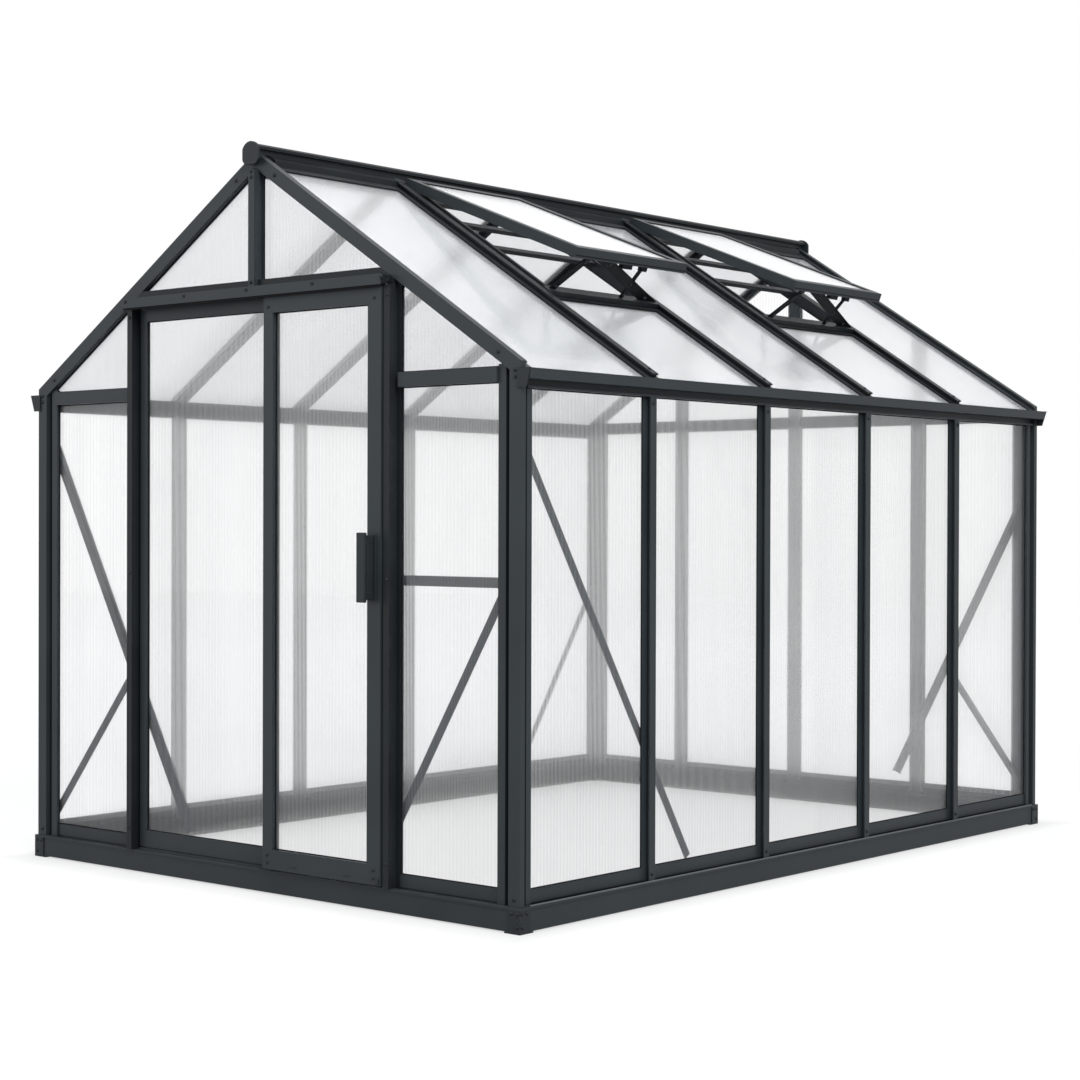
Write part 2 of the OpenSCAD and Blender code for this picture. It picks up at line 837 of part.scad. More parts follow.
// Kerb round each opening with two crossbars, and a sill that grips the sheet below
module vent_sills() {
  inner = kerb_in - kerb_w;
  color(steel)
    at_vents() difference() {
      union() {
        block(sill_s, [-kerb_in, kerb_in], [kerb_low, kerb_top]);
        block([sill_s[0] + 8, sill_s[1]], [edge_gap - kerb_in - 17, kerb_in + 17 - edge_gap],
              [-roof_flange + seat, kerb_top]);
        block([sill_s[1], sill_s[1] + lip], [-kerb_in, kerb_in], [kerb_low, -roof_flange]);
        for (side = [-1, 1])
          intersection() {
            block([0, sill_s[0] + 1], [side * (inner + kerb_w / 2) - kerb_w / 2,
                  side * (inner + kerb_w / 2) + kerb_w / 2], [kerb_low, kerb_top]);
            along_y([-over - kerb_in, kerb_in + over])
              polygon([[ridge_s - kerb_top * tanp, kerb_top], [hw, kerb_top],
                       [hw, kerb_low], [ridge_s - kerb_low * tanp, kerb_low]]);
          }
        for (x = cross_s)
          block([x - cross_w / 2, x + cross_w / 2], [-inner - 1, inner + 1],
                [-roof_flange, kerb_top - 5]);
      }
      block([sill_s[1] - 8, sill_s[1] + lip + 1], [-kerb_in - 1, kerb_in + 1],
            [-roof_slot_end, -roof_slot]);
    }
}

// Lid frame: a skirt that drops round the kerb under a flange that grips the pane
module vent_frames() {
  skirt_y = vent_half - vent_skirt;
  pane_y = vent_half - vent_bar;
  strip = kerb_in - kerb_w - 2;
  color(steel)
    at_vents() {
      vent_swing() difference() {
        block([0, vent_len], [-vent_half, vent_half], vent_z);
        block([-1, vent_len - vent_skirt], [-skirt_y, skirt_y],
              [vent_z[0] - 1, vent_z[1] - vent_flange]);
        block([vent_bar, vent_len - vent_bar], [-pane_y, pane_y], vent_z * 2);
        block([vent_bar - bite, vent_len - vent_bar + bite], [-pane_y - bite, pane_y + bite],
              [vent_pane - 0.3, vent_pane + sheet_t + 0.3]);
      }
      block([ridge_s - 18, hinge_s + 8], [-strip, strip],
            [seat, vent_z[1] - vent_flange + 1]);
    }
}

module vent_sheets() {
  grip = vent_bar - bite + edge_gap;
  color(milky)
    at_vents() vent_swing()
      block([grip, vent_len - grip], [grip - vent_half, vent_half - grip],
            [vent_pane, vent_pane + sheet_t]);
}

// Flat stays and the opener's arm, between the sill and the skirt of the open vent
module vent_stays() {
  foot = (sill_s[0] + sill_s[1]) / 2;
  reach = vent_len - vent_skirt / 2;
  head = hinge_s + reach * cos(vent_open) - vent_z[0] * sin(vent_open);
  rise = vent_under(head) - kerb_top;
  low = foot - stay_over;
  high = head + stay_over;
  color(dark)
    at_vents()
      intersection() {
        translate([foot, 0, kerb_top])
          rotate([0, -atan2(rise, head - foot), 0])
            for (stay = stays)
              translate([0, 0, -stay_t / 2])
                linear_extrude(stay_t)
                  stay_plan(norm([head - foot, rise]), stay[0], stay[1] * kerb_in, stay[2] * kerb_in);
        along_y([-bay, bay])
          polygon([[low, kerb_top], [high, kerb_top],
                   [high, vent_under(high)], [low, vent_under(low)]]);
      }
}

// A slanting bar from y0 to y1 over the length run, drawn past both ends
module stay_plan(run, wide, y0, y1) {
  more = 0.3;
  step = (y1 - y0) * more;
  half = wide / 2 * norm([run, y1 - y0]) / run;
  polygon([
    [-run * more, y0 - step - half], [run * (1 + more), y1 + step - half],
    [run * (1 + more), y1 + step + half], [-run * more, y0 - step + half]
  ]);
}

// ---- Braces ------------------------------------------------------------------------------

// An angle bar in the plane of the front gable from p to q, both given as (x, z)
module gable_brace(p, q) {
  run = q - p;
  at_front() translate([p[0], back_in, p[1]])
    rotate([0, -atan2(run[1], run[0]), 0]) along_x([0, norm(run)])
      difference() {
        span([0, brace_leg], [-brace_w / 2, brace_w / 2]);
        span([brace_t, brace_leg + 1], [-brace_w / 2 - 1, brace_w / 2 - brace_t]);
      }
}

// The same in the plane of the right wall, with p and q given as (y, z)
module side_brace(p, q) {
  translate([hw, 0, 0]) rotate(90) translate([0, hl, 0]) gable_brace(p, q);
}

// Height on a wall as a part f of the way from the sill up to the eave bar
function wall_z(f) = sill_top + f * wall_h;

module braces_gables() {
  color(steel) {
    for (b = front_braces)
      gable_brace([b[0][0] * hw, wall_z(b[0][1])], [b[1][0] * hw, wall_z(b[1][1])]);
    mirror([0, 1, 0])
      for (b = rear_braces)
        gable_brace([b[0][0] * hw, wall_z(b[0][1])], [b[1][0] * hw, wall_z(b[1][1])]);
  }
}

// A side brace given by fractions of the length and of the wall's height
module wall_brace(b) {
  side_brace([b[0][0] * length - hl, wall_z(b[0][1])], [b[1][0] * length - hl, wall_z(b[1][1])]);
}

module braces_sides() {
  color(steel) {
    wall_brace(right_brace);
    mirror([1, 0, 0]) wall_brace(left_brace);
  }
}

// ---- Sliding door ------------------------------------------------------------------------

leaf_grip = 8;
leaf_pane = [1, 1 + sheet_t];

module door_stiles() {
  color(steel)
    at_front() difference() {
      union() {
        block([leaf_x0, leaf_x0 + stile_w], [leaf_in, leaf_back], [leaf_low, leaf_top]);
        block([leaf_x1 - lock_stile_w, leaf_x1], [leaf_in, leaf_back], [leaf_low, leaf_top]);
      }
      block([leaf_x0 + stile_w - leaf_grip, leaf_x1 - lock_stile_w + leaf_grip],
            [leaf_pane[0] - 0.3, leaf_pane[1] + 0.3],
            [leaf_low + rail_h - leaf_grip, leaf_top - rail_h + leaf_grip]);
    }
}

module door_rails() {
  x = [leaf_x0 + stile_w, leaf_x1 - lock_stile_w];
  color(steel)
    at_front() difference() {
      union() {
        block(x, [leaf_in, leaf_back], [leaf_low, leaf_low + rail_h]);
        block(x, [leaf_in, leaf_back], [leaf_top - rail_h, leaf_top]);
      }
      block([x[0] - 1, x[1] + 1], [leaf_pane[0] - 0.3, leaf_pane[1] + 0.3],
            [leaf_low + rail_h - leaf_grip, leaf_top - rail_h + leaf_grip]);
    }
}

module door_sheet() {
  grip = leaf_grip - edge_gap;
  color(clear)
    at_front()
      block([leaf_x0 + stile_w - grip, leaf_x1 - lock_stile_w + grip], leaf_pane,
            [leaf_low + rail_h - grip, leaf_top - rail_h + grip]);
}

// Bow handle on a thin plate
module door_handle() {
  z = [handle_mid - handle_h / 2, handle_mid + handle_h / 2];
  color(dark)
    at_front() {
      along_x(handle_plate_x) span([leaf_in - 3, leaf_in], [z[0] + 6, z[1] - 6]);
      along_x(handle_x) difference() {
        span([leaf_in - handle_out, leaf_in], z);
        span([leaf_in - handle_out + handle_bar, leaf_in + 1],
             [z[0] + handle_leg, z[1] - handle_leg]);
      }
    }
}

// Hangers on the top rail with wheels over the runner lip
module door_rollers() {
  color(dark)
    at_front()
      for (x = [leaf_x0 + 60, leaf_x1 - 60]) {
        block([x - 20, x + 20], [-13, -9], [leaf_top, runner_z + wheel_r + 3]);
        translate([x, 0, runner_z + 0.5 + wheel_r]) rotate([90, 0, 0])
          cylinder(r = wheel_r, h = 9, $fn = 48);
      }
}

// ---- Nodes -------------------------------------------------------------------------------

base_gables();
base_sides();
corner_shoes();
sill_rails_gables();
sill_rails_sides();
corner_posts();
side_posts(-1);  // side_posts_left
side_posts(1);  // side_posts_right
door_posts();
rear_posts();
gable_eave_bars();
mid_rail();
gable_rafters(-1);  // gable_rafters_left
gable_rafters(1);  // gable_rafters_right
roof_rafters(-1);  // roof_rafters_left
roof_rafters(1);  // roof_rafters_right
ridge_beam();
ridge_caps();
eave_beams();
gutter(-1);  // gutter_left
gutter(1);  // gutter_right
gutter_caps();
door_header();
door_track();
door_threshold();
kingpost();
braces_gables();
braces_sides();
wall_sheets_gables();
wall_sheets_side(-1);  // wall_sheets_left
wall_sheets_side(1);  // wall_sheets_right
gable_sheets();
roof_sheets_left();
roof_sheets_right();
fixed_panel_frame();
fixed_panel_sheet();
vent_sills();
vent_frames();
vent_sheets();
vent_stays();
door_stiles();
door_rails();
door_sheet();
door_handle();
door_rollers();
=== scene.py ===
"""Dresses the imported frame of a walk-in greenhouse: finishes, seals, fasteners and fittings."""

from __future__ import annotations

import json
import logging
import math
from dataclasses import dataclass, field
from enum import Enum
from functools import cache
from typing import Sequence

import bmesh
import bpy
from mathutils import Matrix, Vector


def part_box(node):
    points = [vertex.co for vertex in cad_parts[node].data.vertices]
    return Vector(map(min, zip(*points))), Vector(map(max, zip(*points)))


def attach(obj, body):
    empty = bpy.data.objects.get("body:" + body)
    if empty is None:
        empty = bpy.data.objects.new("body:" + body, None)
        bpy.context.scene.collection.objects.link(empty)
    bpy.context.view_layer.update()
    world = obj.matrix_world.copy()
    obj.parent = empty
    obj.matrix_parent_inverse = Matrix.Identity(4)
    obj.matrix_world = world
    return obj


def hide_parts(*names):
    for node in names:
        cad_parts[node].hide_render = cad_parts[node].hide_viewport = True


log = logging.getLogger("greenhouse")
Material = bpy.types.Material
Node = bpy.types.Node
NodeTree = bpy.types.NodeTree
Socket = bpy.types.NodeSocket
Pair = tuple[float, float]
Trio = tuple[float, float, float]
Colour = Point = Trio
UP: Point = (0.0, 0.0, 1.0)
FRONT: Point = (0.0, -1.0, 0.0)
BACK: Point = (0.0, 1.0, 0.0)
RIGHT: Point = (1.0, 0.0, 0.0)
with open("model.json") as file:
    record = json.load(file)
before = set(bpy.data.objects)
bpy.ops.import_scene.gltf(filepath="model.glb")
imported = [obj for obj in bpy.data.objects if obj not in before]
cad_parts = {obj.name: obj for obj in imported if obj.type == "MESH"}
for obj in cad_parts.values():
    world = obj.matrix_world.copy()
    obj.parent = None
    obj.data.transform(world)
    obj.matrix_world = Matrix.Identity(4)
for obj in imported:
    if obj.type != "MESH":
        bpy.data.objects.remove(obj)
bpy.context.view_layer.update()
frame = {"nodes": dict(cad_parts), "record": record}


class Axis(Enum):
    """The world axis along which a sheet's flutes follow one another."""

    X = 0
    Y = 1


class Body(Enum):
    """The two bodies of the model."""

    BUILDING = "building"
    LEAF = "door_leaf"


# ---- Shader effects ----


@dataclass
class Tree:
    """A small helper that fills a node tree.

    Args:
        nodes: The tree to fill.
    """

    nodes: NodeTree

    def feed(self, node: Node, inputs: dict[str | int, object]) -> None:
        """Feeds a node's inputs.

        Args:
            node: The node.
            inputs: For each input a value, an output socket, or a node for its first output.
        """
        for key, value in inputs.items():
            if isinstance(value, Node):
                value = value.outputs[0]
            if isinstance(value, Socket):
                self.nodes.links.new(value, node.inputs[key])
            else:
                node.inputs[key].default_value = value

    def add(self, kind: str, inputs: dict[str | int, object] | None = None,
            **settings: object) -> Node:
        """Adds a node and feeds its inputs.

        Args:
            kind: The node's type without the ShaderNode prefix.
            inputs: What feeds its inputs.
            settings: Properties set on the node itself.

        Returns:
            The new node.
        """
        node = self.nodes.nodes.new("ShaderNode" + kind)
        for name, value in settings.items():
            setattr(node, name, value)
        self.feed(node, inputs or {})
        return node

    def maths(self, operation: str, first: object, second: object = 0.0) -> Socket:
        """Works out an operation on numbers or sockets and returns the result's socket."""
        return self.add("Math", {0: first, 1: second}, operation=operation).outputs[0]

    def ramp(self, value: object, low: object, high: float, start: float = 0.0,
             end: float = 1.0) -> Socket:
        """Maps the range low..high onto start..end, clamped, and returns the result's socket."""
        inputs = {"Value": value, "From Min": low, "From Max": high, "To Min": start, "To Max": end}
        return self.add("MapRange", inputs, clamp=True).outputs[0]

    def blend(self, amount: object, first: object, second: object) -> Socket:
        """Mixes two colours by the amount and returns the result's socket."""
        return self.add("Mix", {0: amount, 6: first, 7: second}, data_type="RGBA").outputs[2]


def empty_tree(owner: Material | bpy.types.World) -> Tree:
    """Switches the nodes of a material or a world on and clears them.

    Args:
        owner: The material or the world.

    Returns:
        The helper for its empty tree.
    """
    owner.use_nodes = True
    tree = Tree(owner.node_tree)
    tree.nodes.nodes.clear()
    return tree


def new_material(name: str) -> tuple[Material, Tree, Node]:
    """Makes an empty material with a Principled shader.

    Args:
        name: The material's name.

    Returns:
        The material, its tree and its shader.
    """
    material = bpy.data.materials.new(name)
    tree = empty_tree(material)
    shader = tree.add("BsdfPrincipled")
    tree.add("OutputMaterial", {"Surface": shader})
    return material, tree, shader


def new_group(name: str, inputs: dict[str, float | None],
              outputs: Sequence[str]) -> tuple[Tree, Node, Node]:
    """Makes a shader group.

    Args:
        name: The group's name.
        inputs: For each input its default, or None for a vector.
        outputs: The names of the values that it puts out.

    Returns:
        The group's tree and its input and output nodes.
    """
    group = bpy.data.node_groups.new(name, "ShaderNodeTree")
    for key, default in inputs.items():
        kind = "NodeSocketVector" if default is None else "NodeSocketFloat"
        socket = group.interface.new_socket(key, in_out="INPUT", socket_type=kind)
        if default is not None:
            socket.default_value = default
    for key in outputs:
        group.interface.new_socket(key, in_out="OUTPUT", socket_type="NodeSocketFloat")
    return Tree(group), group.nodes.new("NodeGroupInput"), group.nodes.new("NodeGroupOutput")


@dataclass(frozen=True)
class Effects:
    """The shader groups that several finishes share, each made once.

    Args:
        lines_per_web: How many lines of tone show on a sheet for each of its webs.
    """

    lines_per_web: float = 0.4

    @cache
    def grain(self) -> NodeTree:
        """Powder coat: fine orange peel, soft clouds of tone and a film of dust on upward faces.

        Returns:
            The group that puts them out.
        """
        inputs = {"Vector": None, "Scale": 900.0}
        tree, start, end = new_group("coat_grain", inputs, ("Tone", "Height", "Dust"))
        place, scale = start.outputs["Vector"], start.outputs["Scale"]
        peel = tree.add("TexNoise", {"Vector": place, "Scale": scale, "Detail": 0.0})
        cloud = tree.add("TexNoise", {"Vector": place, "Scale": 3.1, "Detail": 2.0,
                                      "Roughness": 0.6})
        normal = tree.add("NewGeometry").outputs["Normal"]
        upward = tree.ramp(tree.add("SeparateXYZ", {0: normal}).outputs[2], 0.5, 1.0)
        patchy = tree.ramp(cloud, 0.35, 0.7, 0.3, 1.0)
        tree.feed(end, {"Height": peel, "Tone": tree.ramp(cloud, 0.3, 0.7),
                        "Dust": tree.maths("MULTIPLY", upward, patchy)})
        return tree.nodes

    @cache
    def flutes(self) -> NodeTree:
        """Twin-wall sheet: fine webs, the even lines that they draw, slow bands and soft clouds of
        painted shadow and reflection.

        Returns:
            The group that puts them out.
        """
        inputs = {"Vector": None, "Across": 0.0, "Pitch": 0.006, "Flat": 0.0}
        tree, start, end = new_group("sheet_flutes", inputs, ("Rib", "Line", "Band", "PaintedShadowCloud"))
        place, across = start.outputs["Vector"], start.outputs["Across"]
        pitches = tree.maths("DIVIDE", across, start.outputs["Pitch"])
        turn = tree.maths("MULTIPLY", pitches, math.tau)
        web = tree.maths("COSINE", turn)
        line = tree.maths("COSINE", tree.maths("MULTIPLY", turn, self.lines_per_web))
        band = tree.add("TexNoise", {"W": across, "Scale": 5.0, "Detail": 1.0},
                        noise_dimensions="1D")
        # soft clouds of darker tone: painted blurred shadows and reflections on the sheets
        cloud = tree.add("TexNoise", {"Vector": place, "Scale": 2.6, "Detail": 1.5})
        tree.feed(end, {"Rib": tree.ramp(web, start.outputs["Flat"], 1.0),
                        "Line": tree.ramp(line, 0.5, 0.95), "Band": tree.ramp(band, 0.35, 0.65),
                        "PaintedShadowCloud": tree.ramp(cloud, 0.48, 0.72)})
        return tree.nodes


EFFECTS = Effects()


# ---- Finishes ----


@dataclass(frozen=True)
class PowderCoat:
    """A satin powder coat on metal, or a fine moulded plastic.

    Args:
        name: The material's name.
        dark: The darker tone.
        light: The lighter tone, reached in patches.
        dust: The tone of the thin dust on upward faces.
        roughness: The mean roughness.
        vary: How far the roughness goes under and over its mean.
        peel: The depth of the fine texture in metres.
        relief: Its strength.
        scale: Its scale.
        settled: How much of the dust shows, from 0 to 1.
        shine: The strength of the gloss.
    """

    name: str
    dark: Colour
    light: Colour
    dust: Colour = (0.2, 0.2, 0.19)
    roughness: float = 0.42
    vary: Pair = (0.05, 0.06)
    peel: float = 0.00006
    relief: float = 0.5
    scale: float = 900.0
    settled: float = 0.12
    shine: float = 0.16

    @cache
    def build(self) -> Material:
        """Builds the material on first use.

        Returns:
            The finished material.
        """
        material, tree, shader = new_material(self.name)
        place = tree.add("TexCoord").outputs["Object"]
        grain = tree.add("Group", node_tree=EFFECTS.grain())
        tree.feed(grain, {"Vector": place, "Scale": self.scale})
        coat = tree.blend(grain.outputs["Tone"], (*self.dark, 1.0), (*self.light, 1.0))
        dusty = tree.maths("MULTIPLY", grain.outputs["Dust"], self.settled)
        coat = tree.blend(dusty, coat, (*self.dust, 1.0))
        under, over = self.vary
        rough = tree.ramp(grain.outputs["Tone"], 0.0, 1.0, self.roughness - under,
                          self.roughness + over)
        bump = tree.add("Bump", {"Height": grain.outputs["Height"], "Distance": self.peel,
                                 "Strength": self.relief})
        tree.feed(shader, {"Base Color": coat, "Roughness": rough, "Normal": bump,
                           "Specular IOR Level": self.shine})
        return material


@dataclass(frozen=True)
class TwinWall:
    """A twin-wall sheet: clear skins, and webs that spread what is seen through it sideways.

    Args:
        name: The material's name.
        cloudy: The colour of the webs' lines, of cloudy bands and of the painted shadow clouds.
        across: The axis along which the webs follow one another.
        clear: The colour between the webs.
        flat: From -1 to 1, how much of each flute is flat skin.
        spread: The depth of the webs' waves in metres.
        roughness: The roughness of the skin.
        webs: The roughness over the webs.
        edge: The part of a web's rise over which its roughness comes in.
        lines: The lines' share of the cloudy tone; bands and the painted shadow clouds have the
            rest.
        shade: The share of the light that each skin holds back from what lies behind it.
        haze: The share of the light that each skin scatters.
        ior: How strongly the skins refract.
    """

    name: str
    cloudy: Colour
    across: Axis
    clear: Colour = (1.0, 1.0, 1.0)
    flat: float = 0.0
    spread: float = 0.0001
    roughness: float = 0.03
    webs: float = 0.3
    edge: float = 0.4
    lines: float = 0.75
    shade: float = 0.12
    haze: float = 0.016
    ior: float = 1.25

    @cache
    def build(self) -> Material:
        """Builds the material on first use.

        Returns:
            The finished material.
        """
        material, tree, shader = new_material(self.name)
        place = tree.add("TexCoord").outputs["Object"]
        axes = tree.add("SeparateXYZ", {0: place})
        flutes = tree.add("Group", node_tree=EFFECTS.flutes())
        tree.feed(flutes, {"Vector": place, "Across": axes.outputs[self.across.value],
                           "Flat": self.flat})
        # the bands and the painted shadow clouds pull the tone towards the cloudy colour
        slow = tree.maths("MAXIMUM", flutes.outputs["Band"], flutes.outputs["PaintedShadowCloud"])
        mixed = tree.maths("ADD", tree.maths("MULTIPLY", flutes.outputs["Line"], self.lines),
                           tree.maths("MULTIPLY", slow, 1.0 - self.lines))
        tone = tree.blend(mixed, (*self.clear, 1.0), (*self.cloudy, 1.0))
        path = tree.add("LightPath")
        passing = tree.maths("MAXIMUM", path.outputs["Is Shadow Ray"],
                             path.outputs["Is Diffuse Ray"])
        alpha = tree.ramp(passing, 0.0, 1.0, 1.0, self.shade)
        rib = flutes.outputs["Rib"]
        bump = tree.add("Bump", {"Height": rib, "Distance": self.spread, "Strength": 1.0})
        rough = tree.ramp(rib, 0.0, self.edge, self.roughness, self.webs)
        tree.feed(shader, {"Base Color": tone, "Roughness": rough, "Alpha": alpha,
                           "Normal": bump, "IOR": self.ior,
                           "Transmission Weight": 1.0 - self.haze})
        return material


FINISHES: dict[str, PowderCoat | TwinWall] = {
    "frame": PowderCoat("frame_coat", (0.018, 0.023, 0.027), (0.024, 0.030, 0.034)),
    # deep: a darker copy of the frame coat, painted shade on the door posts, header, rafters, vent
    # sills, ridge beam and track stop
    "deep": PowderCoat("frame_coat_painted_shade", (0.009, 0.011, 0.013), (0.013, 0.016, 0.018),
                       shine=0.12),
    "base": PowderCoat("base_coat", (0.015, 0.0195, 0.023), (0.021, 0.0265, 0.030),
                       roughness=0.45, settled=0.2),
    # bead: much lighter than the base coat, a painted highlight along the bases' top lip
    "bead": PowderCoat("bead_coat_painted_highlight", (0.085, 0.097, 0.104), (0.100, 0.112, 0.120),
                       roughness=0.35, settled=0.2),
    "shoe": PowderCoat("shoe_coat", (0.011, 0.014, 0.017), (0.016, 0.020, 0.023), settled=0.2),
    "brace": PowderCoat("brace_coat", (0.022, 0.028, 0.032), (0.029, 0.036, 0.041)),
    "stay": PowderCoat("stay_coat", (0.003, 0.004, 0.005), (0.005, 0.006, 0.007),
                       settled=0.03, shine=0.06),
    "cap": PowderCoat("cap_plastic", (0.012, 0.015, 0.017), (0.017, 0.020, 0.023),
                      roughness=0.5, scale=500.0),
    "handle": PowderCoat("handle_plastic", (0.013, 0.017, 0.019), (0.017, 0.021, 0.024),
                         roughness=0.45, scale=500.0),
    "roller": PowderCoat("roller_plastic", (0.010, 0.010, 0.010), (0.016, 0.016, 0.016),
                         roughness=0.35),
    "rubber": PowderCoat("seal_rubber", (0.003, 0.003, 0.004), (0.006, 0.006, 0.007),
                         roughness=0.65, settled=0.03, shine=0.06),
    "screw": PowderCoat("screw_coat", (0.008, 0.010, 0.012), (0.014, 0.017, 0.020),
                        roughness=0.3),
    "wall_x": TwinWall("wall_sheet_gable", (0.90, 0.905, 0.91), Axis.X, flat=0.82),
    # wall_y: a darker cloudy tone than the gable copy, painted shade on the side walls
    "wall_y": TwinWall("wall_sheet_side_painted_shade", (0.84, 0.85, 0.86), Axis.Y, flat=0.82),
    "roof": TwinWall("roof_sheet", (0.80, 0.82, 0.84), Axis.Y, clear=(0.98, 0.99, 1.0),
                     flat=0.8, roughness=0.12, haze=0.13),
    # vent: a much lighter tone than the roof sheet's, a painted sheen on the open leaves
    "vent": TwinWall("vent_sheet", (0.95, 0.96, 0.97), Axis.Y, flat=0.86, roughness=0.15,
                     haze=0.35),
}


# ---- Mesh building ----


def basis(x: Vector, y: Vector, z: Vector, point: Point | Vector) -> Matrix:
    """Puts three axes and an origin together.

    Args:
        x, y, z: The directions of the three axes.
        point: The origin.

    Returns:
        The place that has them.
    """
    place = Matrix((x, y, z)).transposed().to_4x4()
    place.translation = Vector(point)
    return place


def facing(point: Point, out: Point, up: Point = UP) -> Matrix:
    """Gives a place whose z points out of a surface.

    Args:
        point: The place's origin.
        out: The direction out of the surface.
        up: The direction that the place's y leans towards.

    Returns:
        The place as a matrix.
    """
    z = Vector(out).normalized()
    x = Vector(up).cross(z)
    if x.length < 1e-6:
        x = Vector(RIGHT)
    x.normalize()
    return basis(x, z.cross(x), z, point)


def rectangle(x: Pair, y: Pair) -> list[Pair]:
    """Returns the corners of a rectangle in order."""
    return [(x[0], y[0]), (x[1], y[0]), (x[1], y[1]), (x[0], y[1])]


def show(name: str, data: bpy.types.ID) -> bpy.types.Object:
    """Puts an object into the scene.

    Args:
        name: The object's name.
        data: Its mesh, lamp or camera.

    Returns:
        The new object.
    """
    thing = bpy.data.objects.new(name, data)
    bpy.context.scene.collection.objects.link(thing)
    return thing


@dataclass
class Piece:
    """A mesh under construction, in metres in the frame's axes.

    Args:
        name: The piece's name.
        mesh: What it consists of so far.
    """

    name: str
    mesh: bmesh.types.BMesh = field(default_factory=bmesh.new)

    def prism(self, outline: Sequence[Pair], place: Matrix, depth: float) -> None:
        """Adds a prism.

        Args:
            outline: The outline in the place's x and y, counter-clockwise.
            place: Where the outline lies; the prism grows along its z.
            depth: How far it grows.
        """
        low = [self.mesh.verts.new(place @ Vector((x, y, 0.0))) for x, y in outline]
        high = [self.mesh.verts.new(place @ Vector((x, y, depth))) for x, y in outline]
        self.mesh.faces.new(list(reversed(low)))
        self.mesh.faces.new(high)
        for i, corner in enumerate(low):
            j = (i + 1) % len(low)
            self.mesh.faces.new((corner, low[j], high[j], high[i]))

    def revolve(self, profile: Sequence[Pair], place: Matrix, steps: int) -> None:
        """Adds a turned form.

        Args:
            profile: Points as radius and height along the place's z, both ends on the axis.
            place: Where the form stands.
            steps: The number of steps round.
        """
        tips = [self.mesh.verts.new(place @ Vector((0.0, 0.0, profile[i][1]))) for i in (0, -1)]
        turns = [math.tau * i / steps for i in range(steps)]
        rings = [[self.mesh.verts.new(place @ Vector((r * math.cos(a), r * math.sin(a), z)))
                  for a in turns] for r, z in profile[1:-1]]
        for i in range(steps):
            j = (i + 1) % steps
            self.mesh.faces.new((tips[0], rings[0][j], rings[0][i]))
            self.mesh.faces.new((tips[1], rings[-1][i], rings[-1][j]))
            for near, far in zip(rings, rings[1:]):
                self.mesh.faces.new((near[i], near[j], far[j], far[i]))

    def soft_box(self, place: Matrix | Point, size: Point, radius: float) -> None:
        """Adds a box with rounded edges.

        Args:
            place: The box's middle and axes, or its middle only.
            size: Its sizes along the place's axes.
            radius: The radius of its edges.
        """
        if not isinstance(place, Matrix):
            place = Matrix.Translation(place)
        part = bmesh.new()
        bmesh.ops.create_cube(part, size=1.0, matrix=Matrix.Diagonal((*size, 1.0)))
        bmesh.ops.bevel(part, geom=part.edges[:], offset=radius, segments=2, profile=0.5,
                        affect="EDGES")
        part.transform(place)
        made = {v: self.mesh.verts.new(v.co) for v in part.verts}
        for face in part.faces:
            self.mesh.faces.new([made[v] for v in face.verts])
        part.free()

    def finish(self, finish: str, slot: str = "frame_aluminium", body: Body = Body.BUILDING,
               smooth: bool = False) -> bpy.types.Object:
        """Turns the mesh into a piece of the model.

        Args:
            finish: The name of its finish.
            slot: Not used.
            body: The body that it moves with.
            smooth: Whether its faces are shaded smooth.

        Returns:
            The new object.
        """
        bmesh.ops.recalc_face_normals(self.mesh, faces=self.mesh.faces)
        data = bpy.data.meshes.new(self.name)
        self.mesh.to_mesh(data)
        self.mesh.free()
        data.materials.append(FINISHES[finish].build())
        if smooth:
            data.shade_smooth()
        piece = show(self.name, data)
        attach(piece, body.value)
        log.info("%s: %d faces", self.name, len(data.polygons))
        return piece


# ---- The building's lines ----


